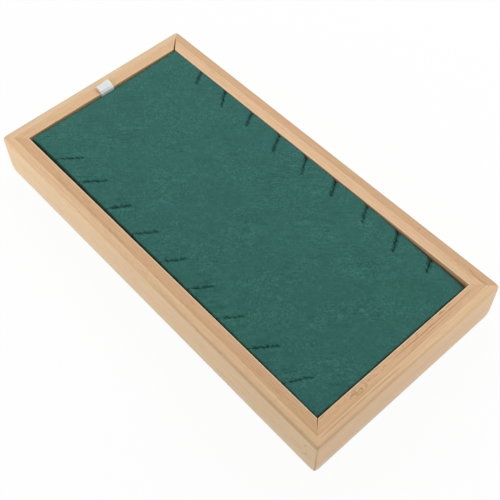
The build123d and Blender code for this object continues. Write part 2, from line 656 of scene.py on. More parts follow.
    def flecks(self, add: AddNode, at: RailPlace, colour: Socket) -> tuple[Socket, Socket]:
        """Darken the fibre bundles that the plane cut open, in patches.

        Args:
            add: Adds a node.
            at: Place on the rail.
            colour: The colour so far.

        Returns:
            The new colour, and how deep the flecks lie.
        """
        start = (self.seed, 3.0, 0)
        inputs = {"Vector": at.point, "Location": start, "Scale": self.fleck_cells}
        cells = add("Mapping", inputs)
        near = add("TexVoronoi", {"Vector": cells, "Scale": 1.0}, "Distance")
        dash = add("MapRange", (near, 0.42, 0.16), interpolation_type="SMOOTHSTEP")
        cloud = grains(add, at.point, (6 * MM, 60 * MM, 6 * MM), self.seed + 7, 1.0)
        low, high = self.fleck_cover - self.fleck_blur, self.fleck_cover + self.fleck_blur
        patch = add("MapRange", (cloud, low, high))
        band = add("MapRange", (at.inward, self.fleck_start, self.fleck_full))
        where = add("Math", (patch, band), operation="MULTIPLY")
        depth = add("Math", (dash, where), operation="MULTIPLY")
        colour = stain(add, colour, depth, 0.0, 1.0, self.fleck_tone, self.fleck_strength)
        return colour, depth

    def rings(
        self, add: AddNode, at: RailPlace, knuckle: Knuckle, bend: Socket, colour: Socket
    ) -> Socket:
        """Draw a knuckle's rings: sines of the distance, drawn out along the rail.

        Args:
            add: Adds a node.
            at: Place on the rail.
            knuckle: The knuckle.
            bend: Noise that bends the rings.
            colour: The colour so far.

        Returns:
            The new colour.
        """
        across = add("Math", (at.inward, knuckle.inward), operation="SUBTRACT")
        run = add("Math", (at.along, knuckle.along), operation="SUBTRACT")
        drawn = add("Math", (run, self.ring_draw), operation="MULTIPLY")
        apart = add("CombineXYZ", (across, drawn))
        plain = add("VectorMath", (apart,), "Value", operation="LENGTH")
        inputs = (bend, self.ring_bend, plain)
        distance = add("Math", inputs, operation="MULTIPLY_ADD")
        inputs = (distance, 2 * pi / self.ring_spacing)
        angle = add("Math", inputs, operation="MULTIPLY")
        wave = add("Math", (angle,), operation="SINE")
        line = add("MapRange", (wave, -0.2, 1.0))
        fade = add("MapRange", (distance, knuckle.reach, 0.35 * knuckle.reach))
        share = add("Math", (line, fade), operation="MULTIPLY")
        return stain(add, colour, share, 0.0, 1.0, self.fleck_tone, knuckle.strength)

    def grain_line(
        self, add: AddNode, at: RailPlace, line: GrainLine, fibres: Socket, colour: Socket
    ) -> Socket:
        """Draw one fibre bundle.

        With t the place along the line from -1 to 1, the distance to its middle is the
        difference of inward from the line's own less bow times t squared. A high power of t
        ends the line, and the fibres' noise breaks it up.

        Args:
            add: Adds a node.
            at: Place on the rail.
            line: The bundle.
            fibres: Fine noise.
            colour: The colour so far.

        Returns:
            The new colour.
        """
        half, middle = (line.end - line.start) / 2, (line.end + line.start) / 2
        inputs = (at.along, 1 / half, -middle / half)
        share = add("Math", inputs, operation="MULTIPLY_ADD")
        square = add("Math", (share, share), operation="MULTIPLY")
        bowed = add("Math", (square, line.bow, at.inward), operation="MULTIPLY_ADD")
        off = distance_to(add, bowed, line.inward)
        end = add("Math", (square, 6.0), operation="POWER")
        ended = add("Math", (end, line.width, off), operation="MULTIPLY_ADD")
        broken = add("Math", (fibres, line.width, ended), operation="MULTIPLY_ADD")
        start, full = 1.4 * line.width, 0.6 * line.width
        return stain(add, colour, broken, start, full, self.fleck_tone, line.strength)

    def edges(self, add: AddNode, at: RailPlace, drift: Socket, colour: Socket) -> Socket:
        """Darken the outer top edge with painted shade, paint a highlight on the lighter sanded
        inner one, and colour the inner face below it.

        Args:
            add: Adds a node.
            at: Place on the rail.
            drift: Cloudy noise that varies the painted shade.
            colour: The colour so far.

        Returns:
            The new colour.
        """
        below = add("Math", (self.size.height, at.height), operation="SUBTRACT")
        outside = add("Math", (at.inward, below), operation="ADD")
        # Painted shade along the outer top edge: worn is the distance from it, wavered by the
        # drift.
        worn = add("Math", (drift, 1.5 * MM, outside), operation="MULTIPLY_ADD")
        near = add("MapRange", (worn, self.rubbed_reach, self.rubbed_reach - 2 * MM))
        # Where the painted shade starts there is some of it left.
        span = (at.along, self.rubbed_start, self.rubbed_full, 0.15)
        run = add("MapRange", span)
        edge_shade = add("Math", (near, run), operation="MULTIPLY")
        colour = stain(add, colour, edge_shade, 0.0, 1.0, self.rubbed_tone, self.rubbed_strength)
        left = add("Math", (self.size.width, at.inward), operation="SUBTRACT")
        # A painted highlight along the inner top edge, whose sanded wood is also lighter.
        inside = add("Math", (left, below), operation="ADD")
        reach, strength = self.crisp_reach, self.crisp_strength
        colour = stain(add, colour, inside, reach, 0.6 * MM, self.crisp_tone, strength)
        return stain(add, colour, left, 0.12 * MM, 0.02 * MM, self.wall_tone)


@dataclass(frozen=True)
class PlainWood(Finish):
    """Sawn or peeled wood with no lacquer, its grain along Y.

    It gives the eye soft streaks of two tones and a dull face.
    """

    tone: str = "#D8BE95"
    streak: str = "#B99468"
    spacing: float = 3 * MM
    length: float = 120 * MM
    contrast: float = 0.5

    def dress(self, add: AddNode, shader: bpy.types.Node) -> None:
        """Add the streaks and the fibres' relief.

        Args:
            add: Adds a node.
            shader: Its Principled shader.
        """
        place = add("TexCoord", output="Object")
        grain = grains(add, place, (self.spacing, self.length, self.spacing), detail=5.0)
        tone = linear(self.tone)
        colour = stain(add, tone, grain, 0.42, 0.72, self.streak, self.contrast)
        bump = add("Bump", {"Height": grain, "Strength": 0.3, "Distance": 0.2 * MM})
        plug(shader, {"Base Color": colour, "Normal": bump})


@dataclass(frozen=True)
class Speckled(Finish):
    """Pressed fibre, such as felt, card or hardboard, or the open cells of foam.

    It gives the eye fine specks of two tones and a soft, dull face.
    """

    tone: str = "#5A5A58"
    speck: str = "#6C6C69"
    grit: float = 0.6 * MM
    depth: float = 0.1 * MM

    def dress(self, add: AddNode, shader: bpy.types.Node) -> None:
        """Add the specks and their relief.

        Args:
            add: Adds a node.
            shader: Its Principled shader.
        """
        place = add("TexCoord", output="Object")
        specks = grains(add, place, (self.grit,) * 3, detail=4.0)
        colour = stain(add, linear(self.tone), specks, 0.35, 0.65, self.speck)
        bump = add("Bump", {"Height": specks, "Strength": 0.5, "Distance": self.depth})
        plug(shader, {"Base Color": colour, "Normal": bump})


@dataclass(frozen=True)
class RolledSteel(Finish):
    """Bright rolled steel strip, as V-nails are bent from.

    It gives the eye fine lines along the strip and a clear metal shine.
    """

    tone: str = "#B4B4B6"

    def dress(self, add: AddNode, shader: bpy.types.Node) -> None:
        """Add the rolling lines to the roughness.

        Args:
            add: Adds a node.
            shader: Its Principled shader.
        """
        place = add("TexCoord", output="Object")
        # Rolling lines stand about 0.2 mm apart, upright on the nail.
        lines = grains(add, place, (0.2 * MM, 0.2 * MM, 5 * MM))
        shine = add("MapRange", {0: lines, 3: self.roughness - 0.08, 4: self.roughness + 0.12})
        plug(shader, {"Base Color": linear(self.tone), "Metallic": 1.0, "Roughness": shine})


@dataclass(frozen=True)
class MicrofibreSuede(Finish):
    """Knitted microfibre, dyed green and sueded with emery so that it has a short nap.

    It gives the eye a deep green that drifts between teal and grass, specks where the nap stands
    rough, patches of shallow creases with painted shade, a faint bloom at a low angle, darker
    flattened nap with painted shade in ragged spots along the slits, and a painted highlight past
    some slits' ends.
    """

    tone: str = "#457E78"
    # The darker tone of flattened nap and painted shade at the slits.
    crushed: str = "#194840"
    # A painted highlight on the puckered cloth past a slit's end.
    stretched: str = "#7FA79F"
    bloom: str = "#9CC2B6"
    # The nap turns over in clouds: the size of each layer's grains, its darkest and its lightest
    # tint.
    clouds: tuple[tuple[float, str, str], ...] = (
        (48 * MM, "#FFFBFF", "#FDFFFA"),
        (17 * MM, "#F4F7F6", "#FFFFFF"),
        (5 * MM, "#EAF1EF", "#FFFFFF"),
        (2.2 * MM, "#E6EFEC", "#FFFFFF"),
    )
    # Specks of rough nap and the patches that they stand in, outside which they show faintly.
    speck: float = 1.4 * MM
    speck_tone: str = "#BDD3CE"
    speck_patch: float = 20 * MM
    speck_faint: float = 0.3
    # Shallow creases lie askew across the pad, about 1.7 mm apart, in patches, with painted shade.
    crease_size: Triple = (9 * MM, 1.7 * MM, 9 * MM)
    crease_turn: float = radians(42)
    crease_tone: str = "#CFE0DC"
    crease_patch: float = 26 * MM
    # Spots that make the flattened nap and painted shade along a slit ragged: their size, and by
    # how much their noise scales the nearness to the slit.
    spot: float = 1.2 * MM
    spot_scale: float = 5.0
    spot_shift: float = -1.2
    # The scaled nearness at which the flattened nap and painted shade set in, and where they are
    # full.
    crush_span: Span = (0.15, 0.75)
    # The same for the painted highlight on the puckered cloth past a slit's end, and its strength.
    stretch_span: Span = (-0.15, -1.0)
    stretch_strength: float = 0.6
    # A darker spot just below the ribbon: its place, reach and strength.
    smudge: Triple = (-1.1 * MM, 149.5 * MM, 35.4 * MM)
    smudge_reach: float = 2.2 * MM
    smudge_strength: float = 0.8
    nap_depth: float = 0.18 * MM
    sheen: float = 0.12
    sheen_roughness: float = 0.45

    def dress(self, add: AddNode, shader: bpy.types.Node) -> None:
        """Add the nap's clouds and specks, the slits' edges, the bloom and the fibres' relief.

        Args:
            add: Adds a node.
            shader: Its Principled shader.
        """
        place = add("TexCoord", output="Object")
        colour = linear(self.tone)
        for number, (size, dark, light) in enumerate(self.clouds):
            cloud = grains(add, place, (size,) * 3, 2.3 * number, 3.0)
            colour = shade(add, colour, cloud, dark, light)
        cells = add("Mapping", {"Vector": place, "Scale": (1 / self.speck,) * 3})
        nap = add("TexVoronoi", {"Vector": cells, "Scale": 1.0}, "Distance")
        colour = self.specks(add, place, nap, colour)
        colour = self.creases(add, place, colour)
        colour = self.slit_edges(add, place, colour)
        # A darker spot just below the ribbon, in the slits' dark tone.
        off = add("VectorMath", (place, self.smudge), "Value", operation="DISTANCE")
        reach, strength = self.smudge_reach, self.smudge_strength
        colour = stain(add, colour, off, reach, 0.0, self.crushed, strength)
        bump = add("Bump", {"Height": nap, "Strength": 0.5, "Distance": self.nap_depth})
        plug(shader, {"Base Color": colour, "Normal": bump, "Sheen Weight": self.sheen})
        plug(shader, {"Sheen Roughness": self.sheen_roughness, "Sheen Tint": linear(self.bloom)})

    def fade(self, add: AddNode, pattern: Socket, mean: float, strength: Socket) -> Socket:
        """Scale a pattern's distance from its mean by a strength, and bring the mean to a half."""
        off = add("Math", (pattern, mean), operation="SUBTRACT")
        return add("Math", (off, strength, 0.5), operation="MULTIPLY_ADD")

    def specks(self, add: AddNode, place: Socket, nap: Socket, colour: Socket) -> Socket:
        """Darken the specks of rough nap, mostly in their patches.

        Args:
            add: Adds a node.
            place: Place on the suede.
            nap: Cells of the nap.
            colour: The colour so far.

        Returns:
            The new colour.
        """
        cloud = grains(add, place, (self.speck_patch,) * 3, 9.0, 1.0)
        rough = add("MapRange", (cloud, 0.38, 0.62, self.speck_faint, 1.0))
        speck = self.fade(add, nap, 0.45, rough)
        return shade(add, colour, speck, self.speck_tone, low=0.2, high=0.8)

    def creases(self, add: AddNode, place: Socket, colour: Socket) -> Socket:
        """Paint shade into the shallow creases, in their patches.

        Args:
            add: Adds a node.
            place: Place on the suede.
            colour: The colour so far.

        Returns:
            The new colour.
        """
        turned = add("Mapping", {"Vector": place, "Rotation": (0, 0, self.crease_turn)})
        creases = grains(add, turned, self.crease_size, 12.0, 1.0)
        cloud = grains(add, place, (self.crease_patch,) * 3, 15.0, 1.0)
        ruffled = add("MapRange", (cloud, 0.45, 0.62))
        return shade(add, colour, self.fade(add, creases, 0.5, ruffled), self.crease_tone)

    def slit_edges(self, add: AddNode, place: Socket, colour: Socket) -> Socket:
        """Paint shade with the flattened nap at the slits' edges, and highlights past their ends.

        The pad's slit_edge attribute tells how near a slit's edge is, and is below 0 where the
        puckered cloth past a slit's end has a painted highlight.

        Args:
            add: Adds a node.
            place: Place on the suede.
            colour: The colour so far.

        Returns:
            The new colour.
        """
        near = add("Attribute", output="Fac", attribute_name=SLIT_EDGE)
        spots = grains(add, place, (self.spot,) * 3, 6.0)
        inputs = (spots, self.spot_scale, self.spot_shift)
        ragged = add("Math", inputs, operation="MULTIPLY_ADD")
        # Flattened nap with painted shade along the slits.
        crush_shade = add("Math", (near, ragged), operation="MULTIPLY")
        colour = stain(add, colour, crush_shade, *self.crush_span, self.crushed)
        # A painted highlight on the puckered cloth past a slit's end.
        strength = self.stretch_strength
        return stain(add, colour, near, *self.stretch_span, self.stretched, strength)


@dataclass(frozen=True, kw_only=True)
class WovenRibbon(Finish):
    """White polyester ribbon, plain woven with cross ribs and a thicker selvedge.

    It gives the eye fine ribs across the band, cooler in the middle, with creamy edges and a
    soft satin shine.
    """

    width: float
    tone: str = "#E4E6E6"
    selvedge_tone: str = "#F4EEE7"
    # Distances from the edge at which the selvedge's tone starts and is full.
    selvedge_span: Span = (2.2 * MM, 0.9 * MM)
    # Real ribs stand 0.4 mm apart, drawn at 0.8 mm so that they show.
    rib: float = 0.8 * MM
    rib_tone: str = "#EEF0F0"
    rib_depth: float = 0.06 * MM
    sheen: float = 0.1

    def dress(self, add: AddNode, shader: bpy.types.Node) -> None:
        """Add the ribs and the selvedges, read from the ribbon's own map in metres.

        Args:
            add: Adds a node.
            shader: Its Principled shader.
        """
        band = add("UVMap", uv_map=WEAVE_MAP)
        along, across, _ = add("SeparateXYZ", (band,)).node.outputs
        angle = add("Math", (along, 2 * pi / self.rib), operation="MULTIPLY")
        ribs = add("Math", (angle,), operation="SINE")
        half = self.width / 2
        off = distance_to(add, across, half)
        start, full = (half - distance for distance in self.selvedge_span)
        colour = stain(add, linear(self.tone), off, start, full, self.selvedge_tone)
        colour = shade(add, colour, ribs, self.rib_tone, low=-1.0, high=1.0)
        bump = add("Bump", {"Height": ribs, "Strength": 0.35, "Distance": self.rib_depth})
        plug(shader, {"Base Color": colour, "Normal": bump, "Sheen Weight": self.sheen})


@dataclass(frozen=True)
class Softbox:
    """A square lamp with a soft shadow: where it stands, what it faces, its size and power."""

    name: str
    place: Triple
    aim: Triple
    size: float
    power: float


@dataclass
class Studio:
    """The white table, the soft light and the camera at the photograph's angle."""

    # The camera turns about a point on the table. Angles are in degrees.
    azimuth: float = -41.323
    elevation: float = 55.329
    roll: float = -1.147
    distance: float = 0.68292
    target: Triple = (-0.815 * MM, -16.207 * MM, 0.0)
    lens: float = 64.451
    sensor: float = 36.0
    table_size: float = 6.0
    table_drop: float = 0.05 * MM
    table_tone: str = "#F4F4F4"
    table_glow: float = 0.94
    ambient: float = 0.52
    softboxes: tuple[Softbox, ...] = (
        Softbox("key_behind", (0.34, 0.42, 0.62), (0.02, 0.06, 0.0), 0.6, 1.63),
        Softbox("near_left", (-0.45, 0.30, 0.22), (-0.05, 0.10, 0.02), 0.3, 0.80),
        Softbox("near_right", (0.40, -0.45, 0.22), (0.05, -0.10, 0.02), 0.3, 0.60),
        Softbox("over_right", (0.55, 0.0, 0.60), (0.0, 0.0, 0.0), 0.6, 1.32),
    )

    def build(self) -> list[Piece]:
        """Make the camera, the world, the lamps and the table.

        Returns:
            The table.
        """
        self.place_camera()
        self.light_world()
        for softbox in self.softboxes:
            self.place_softbox(softbox)
        return [self.lay_table()]

    def place_camera(self) -> None:
        """Put the camera on its ray from the target, rolled about its own line of sight."""
        azimuth, elevation, roll = (
            radians(angle) for angle in (self.azimuth, self.elevation, self.roll)
        )
        back = Vector(
            (sin(azimuth) * cos(elevation), -cos(azimuth) * cos(elevation), sin(elevation))
        )
        level = Vector((0, 0, 1)).cross(back).normalized()
        upright = back.cross(level)
        right = cos(roll) * level + sin(roll) * upright
        up = cos(roll) * upright - sin(roll) * level
        data = bpy.data.cameras.new("camera")
        data.lens = self.lens
        data.sensor_width = self.sensor
        camera = bpy.data.objects.new("camera", data)
        bpy.context.scene.collection.objects.link(camera)
        turn = Matrix((right, up, back)).transposed().to_4x4()
        camera.matrix_world = Matrix.Translation(Vector(self.target) + back * self.distance) @ turn
        bpy.context.scene.camera = camera

    def light_world(self) -> None:
        """Light the tray evenly from all round, with plain white where the camera sees past it."""
        scene = bpy.context.scene
        scene.view_settings.view_transform = "Standard"
        world = scene.world or bpy.data.worlds.new("studio")
        scene.world = world
        world.use_nodes = True
        tree = world.node_tree
        tree.nodes.clear()
        add = partial(add_node, tree)
        seen = self.seen_rays(add)
        light = add("Background", {"Color": (1, 1, 1, 1), "Strength": self.ambient})
        white = add("Background", {"Color": (1, 1, 1, 1), "Strength": 1.0})
        either = add("MixShader", (seen, light, white))
        add("OutputWorld", {"Surface": either})

    def seen_rays(self, add: AddNode) -> Socket:
        """Tell the rays that see the plain white round the tray from those that light it.

        Args:
            add: Adds a node.

        Returns:
            1 for rays from the camera, a mirror or glass, and 0 for others.
        """
        path = add("LightPath").node.outputs
        seen = path["Is Camera Ray"]
        for ray in ("Is Glossy Ray", "Is Transmission Ray"):
            seen = add("Math", (seen, path[ray]), operation="MAXIMUM")
        return seen

    def place_softbox(self, softbox: Softbox) -> None:
        """Hang one lamp, facing its aim.

        Args:
            softbox: The lamp.
        """
        data = bpy.data.lights.new(softbox.name, "AREA")
        data.shape = "SQUARE"
        data.size = softbox.size
        data.energy = softbox.power
        lamp = bpy.data.objects.new(softbox.name, data)
        bpy.context.scene.collection.objects.link(lamp)
        place = Vector(softbox.place)
        turn = (Vector(softbox.aim) - place).to_track_quat("-Z", "Y").to_matrix().to_4x4()
        lamp.matrix_world = Matrix.Translation(place) @ turn

    def lay_table(self) -> Piece:
        """Lay a white table that keeps a faint shadow of the tray.

        Returns:
            The table.
        """
        half = self.table_size / 2
        corners = [(-half, -half), (half, -half), (half, half), (-half, half)]
        points = np.array([(x, y, -self.table_drop) for x, y in corners])
        table = make_mesh("table", points, [np.array([[0, 1, 2, 3]])])
        material = bpy.data.materials.new("white card table")
        material.use_nodes = True
        material.node_tree.nodes.clear()
        add = partial(add_node, material.node_tree)
        inputs = (self.seen_rays(add), self.table_glow)
        share = add("Math", inputs, operation="MULTIPLY")
        card = add("BsdfDiffuse", {"Color": linear(self.table_tone)})
        white = add("Emission", {"Strength": 1.0})
        either = add("MixShader", (share, card, white))
        add("OutputMaterial", {"Surface": either})
        table.data.materials.append(material)
        return table


@dataclass(frozen=True)
class MitreGap:
    """How far a mitre has opened at its inner end on each rail, how much of it, from the outer
    corner, is still closed, and how far its seam gapes at the outer corner."""

    opening: float
    closed_share: float
    seam: float = 0.0


@dataclass
class Rail:
    """One bamboo rail: a section with eased edges and a groove, carried between two mitres.

    Its gaps are those of the mitre at the low end and at the high end of its own run.
    """

    side: Side
    size: RailSize
    finish: LaminatedBamboo
    gaps: tuple[MitreGap, MitreGap]
    seed: int
    corner_radius: float = 1.2 * MM
    top_radius: float = 1.3 * MM
    bottom_radius: float = 0.5 * MM
    inner_radius: float = 0.5 * MM
    groove_depth: float = 5.0 * MM
    groove_play: float = 0.2 * MM
    # Points that divide the outer face, the top, and the inner face above the groove.
    outer_points: int = 10
    top_points: int = 9
    inner_points: int = 6
    mitre_ease: float = 0.012 * MM
    mitre_reach: float = 0.35 * MM
    gap_power: float = 0.6
    # How far the planed faces waver, and the waves' length on the upright and the level faces.
    waviness: float = 0.03 * MM
    upright_waves: float = 70 * MM
    level_waves: float = 110 * MM
    station_spacing: float = 4.0 * MM
    corner_steps: int = 6
    # Sanding has taken the points off the tray's corners, above and below.
    corner_wear: float = 0.48 * MM
    wear_reach: float = 2.6 * MM
    # Height of the middle of a gaping seam at the outer corner, and half its length.
    seam_height: float = 14 * MM
    seam_reach: float = 13 * MM
    nail_thickness: float = 0.8 * MM
    nail_play: float = 0.02 * MM

    def __post_init__(self) -> None:
        """Read the groove's height from the base panel that lies in it."""
        base_low, base_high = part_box("base_panel")
        self.groove_low = base_low[2]
        self.groove_high = base_high[2] + self.groove_play

    def section(self) -> Array:
        """Outline of the section, in the sense that makes the rail's faces point outwards.

        Each straight stretch is divided, so that the wood's faces can waver.

        Returns:
            Distance in from the outer face, and height, of each point.
        """
        width, height = self.size.width, self.size.height
        outer, foot, inner = self.top_radius, self.bottom_radius, self.inner_radius
        deep = width - self.groove_depth
        face = np.linspace(foot, height - outer, self.outer_points)[1:-1]
        top = np.linspace(outer, width - inner, self.top_points)[1:-1]
        wall = np.linspace(height - inner, self.groove_high, self.inner_points)[1:-1]
        outline = arc((foot, foot), foot, 270, 180)
        outline += [(0.0, z) for z in face]
        outline += arc((outer, height - outer), outer, 180, 90)
        outline += [(x, height) for x in top]
        outline += arc((width - inner, height - inner), inner, 90, 0)
        outline += [(width, z) for z in wall]
        outline += [(width, self.groove_high), (deep, self.groove_high)]
        outline += [(deep, self.groove_low), (width, self.groove_low)]
        outline += [(width, inner), (width - inner, 0.0)]
        return np.array(outline)

    def section_normals(self, outline: Array) -> Array:
        """Outward directions at the section's points, square to the line through the neighbours.

        Args:
            outline: The section.

        Returns:
            A unit vector for each point.
        """
        step = np.roll(outline, -1, 0) - np.roll(outline, 1, 0)
        normals = np.stack([-step[:, 1], step[:, 0]], 1)
        return normals / np.linalg.norm(normals, axis=1, keepdims=True)

    def rings(self, outline: Array, gap: MitreGap) -> tuple[Array, Array]:
        """Rings of the last stretch before a mitre.

        Near the outer face a ring turns about the tray's rounded corner by up to 45 degrees.
        Further in it runs straight to the mitre, which lies at the half length less the
        distance in and less the joint's opening, and that grows by a power of the way over its
        open part. The last ring is eased inwards, and by a steep bell curve of the height more
        where the outer corner's seam gapes.

        Args:
            outline: The section.
            gap: The mitre's opening.

        Returns:
            Section points and distances from the rail's middle, each a row a ring.
        """
        inward, half = outline[:, 0], self.size.half
        open_share = (inward / self.size.width - gap.closed_share) / (1 - gap.closed_share)
        mitre = half - inward - gap.opening * np.clip(open_share, 0, 1) ** self.gap_power
        left = np.maximum(self.corner_radius - inward, 0.0)
        curved = inward < self.corner_radius
        sections, places = [], []
        for share in np.linspace(0, 1, self.corner_steps + 1):
            turn = radians(45) * share
            section = outline.copy()
            section[curved, 0] = self.corner_radius - left[curved] * cos(turn)
            bent = half - self.corner_radius + left * sin(turn)
            sections.append(section)
            places.append(np.where(curved, bent, mitre - self.mitre_reach * (1 - share)))
        sections[-1] -= self.section_normals(outline) * self.mitre_ease
        rise = (outline[:, 1] - self.seam_height) / self.seam_reach
        places[-1] -= self.mitre_ease + gap.seam * np.exp(-(rise ** 4)) * curved
        return np.array(sections), np.array(places)

    def surface(self) -> Array:
        """All rings of the rail in its own frame: distance in, place along, height.

        The rings crowd towards both ends, by the cosine of their number. The planed faces lie
        back by low waves along the rail, up to the waviness. At the worn corners a point moves
        by the same amount along each axis, which falls off by a bell curve of the sum of its
        distances from the three faces, so that the mitre stays flat.

        Returns:
            Points, each row a ring.
        """
        outline = self.section()
        first, first_places = self.rings(outline, self.gaps[0])
        last, last_places = self.rings(outline, self.gaps[1])
        count = int(2 * self.size.half / self.station_spacing)
        share = (1 - np.cos(np.linspace(0, pi, count)[1:-1, None])) / 2
        start = self.mitre_reach - first_places[0]
        middle_places = (1 - share) * start + share * (last_places[0] - self.mitre_reach)
        middle = np.broadcast_to(outline, (len(share), *outline.shape))
        sections = np.concatenate([first[::-1], middle, last])
        places = np.concatenate([-first_places[::-1], middle_places, last_places])
        normals = self.section_normals(outline)
        # The outer face and the top waver, but neither the underside nor the inner face.
        planed = (normals[:, 1] > -0.5) & (outline[:, 0] < self.size.width - 0.1 * MM)
        run = places[:, :1]
        back = np.abs(normals[:, 0] * waves(run, self.upright_waves, self.seed))
        back += np.abs(normals[:, 1] * waves(run, self.level_waves, self.seed + 1))
        sections = sections - (planed * back)[..., None] * self.waviness * normals
        inward, height = sections[..., 0], sections[..., 1]
        lift = height - self.size.height / 2
        below = self.size.height / 2 - np.abs(lift)
        sum_off = inward + below + self.size.half - np.abs(places)
        worn = self.corner_wear * np.exp(-((sum_off / self.wear_reach) ** 2))
        along = places - np.sign(places) * worn
        return np.stack([inward + worn, along, height - np.sign(lift) * worn], -1)

    def to_tray(self, points: Array) -> Array:
        """Turn points of the rail's own frame into the tray's.

        Args:
            points: Distance in, place along and height of each.

        Returns:
            X, Y and Z of each.
        """
        inward, along = points[..., 0] - self.size.reach, points[..., 1]
        turn = -self.side.turn
        x = inward * cos(turn) - along * sin(turn)
        y = inward * sin(turn) + along * cos(turn)
        return np.stack([x, y, points[..., 2]], -1)

    def nail_slots(self) -> Array:
        """Corners of the two boxes that the V-nails' legs were driven into.

        Returns:
            Eight corners a box, in the rail's frame.
        """
        nail_low, nail_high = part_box("v_nails_back_right")
        inset = tray_halves()[0] - nail_high[0]
        end = self.size.half - inset
        play = self.nail_play
        leg = nail_high[0] - nail_low[0]
        boxes = []
        for sign in (-1, 1):
            run = sorted((sign * (end - leg - play), sign * (end + play)))
            across = (inset - play, inset + self.nail_thickness + play)
            # A box starts 1 mm below the rail, so that it cuts the underside open.
            rise = (-MM, nail_high[2] + play)
            boxes.append([(x, y, z) for x in across for y in run for z in rise])
        return np.array(boxes)

    def build(self) -> Piece:
        """Make the rail's mesh, dress it and cut the nails' slots.

        Returns:
            The rail.
        """
        points = self.surface()
        rings, around = points.shape[:2]
        quads = grid_faces(rings, around, closed=True)
        ends = np.array([np.arange(around)[::-1], np.arange(around) + (rings - 1) * around])
        piece = make_mesh(f"{self.side.node}_bamboo", self.to_tray(points), [quads, ends])
        piece.data.materials.append(self.finish.material())
        self.cut_slots(piece)
        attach(piece, "frame")
        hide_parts(self.side.node)
        return piece

    def cut_slots(self, piece: Piece) -> None:
        """Cut the V-nails' slots out of the rail's underside.

        Args:
            piece: The rail.
        """
        boxes = self.to_tray(self.nail_slots())
        sides = np.array(
            [[0, 1, 3, 2], [4, 6, 7, 5], [0, 4, 5, 1], [2, 3, 7, 6], [0, 2, 6, 4], [1, 5, 7, 3]]
        )
        faces = [sides + 8 * number for number in range(len(boxes))]
        cutter = make_mesh(f"{self.side.node}_slots", boxes, faces)
        cut = piece.modifiers.new("slots", "BOOLEAN")
        cut.operation = "DIFFERENCE"
        cut.solver = "EXACT"
        cut.object = cutter
        settle_modifiers(piece)
        bpy.data.objects.remove(cutter)


@dataclass
class FeltLining:
    """The felt glued under the base panel: a slab whose edge is rounded and frayed."""

    columns: int = 60
    rows: int = 120
    # How far the cut edge wavers, the waves' length, and the power of the distance from the
    # middle by which the waver fades towards it.
    ragged: float = 0.35 * MM
    fray: float = 6 * MM
    fray_power: int = 9
    # The share of the thickness by which the lower face rises at the edge, and its power.
    rounding: float = 0.4
    rounding_power: int = 40
    # How far the lower face swells, and the waves' length as a share of the half width.
    swell: float = 0.06 * MM
    swell_share: float = 0.4

    def build(self) -> Piece:
        """Make the slab's mesh and dress it.

        Its outline wavers by ragged, and its lower face rises at the very edge by a high power
        of the distance from the middle.

        Returns:
            The felt.
        """
        low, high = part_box("underside_felt")
        rows, columns = self.rows, self.columns
        u, v = np.meshgrid(np.linspace(-1, 1, columns), np.linspace(-1, 1, rows))
        ragged, power = self.ragged, self.fray_power
        x = u * (high[0] - ragged) + u ** power * ragged * waves(v * high[1], self.fray, 40)
        y = v * (high[1] - ragged) + v ** power * ragged * waves(u * high[0], self.fray, 41)
        edge = np.maximum(np.abs(u), np.abs(v)) ** self.rounding_power
        lower = low[2] + self.rounding * (high[2] - low[2]) * edge
        lower += self.swell * waves(u + 3 * v, self.swell_share, 42) ** 2
        upper = np.full_like(lower, high[2])
        points = np.stack([[x, y, lower], [x, y, upper]]).transpose(0, 2, 3, 1)
        face, rim, above = grid_faces(rows, columns), grid_rim(rows, columns), rows * columns
        beside = np.roll(rim, -1)
        wall = np.stack([rim, beside, beside + above, rim + above], 1)
        felt = make_mesh("felt_lining", points, [face[:, ::-1], face + above, wall])
        wool = Speckled("pressed wool felt, charcoal", 0.95, 0.2, "#2B2F2D", "#3E4340", 0.7 * MM)
        felt.data.materials.append(wool.material())
        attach(felt, "frame")
        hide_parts("underside_felt")
        return felt
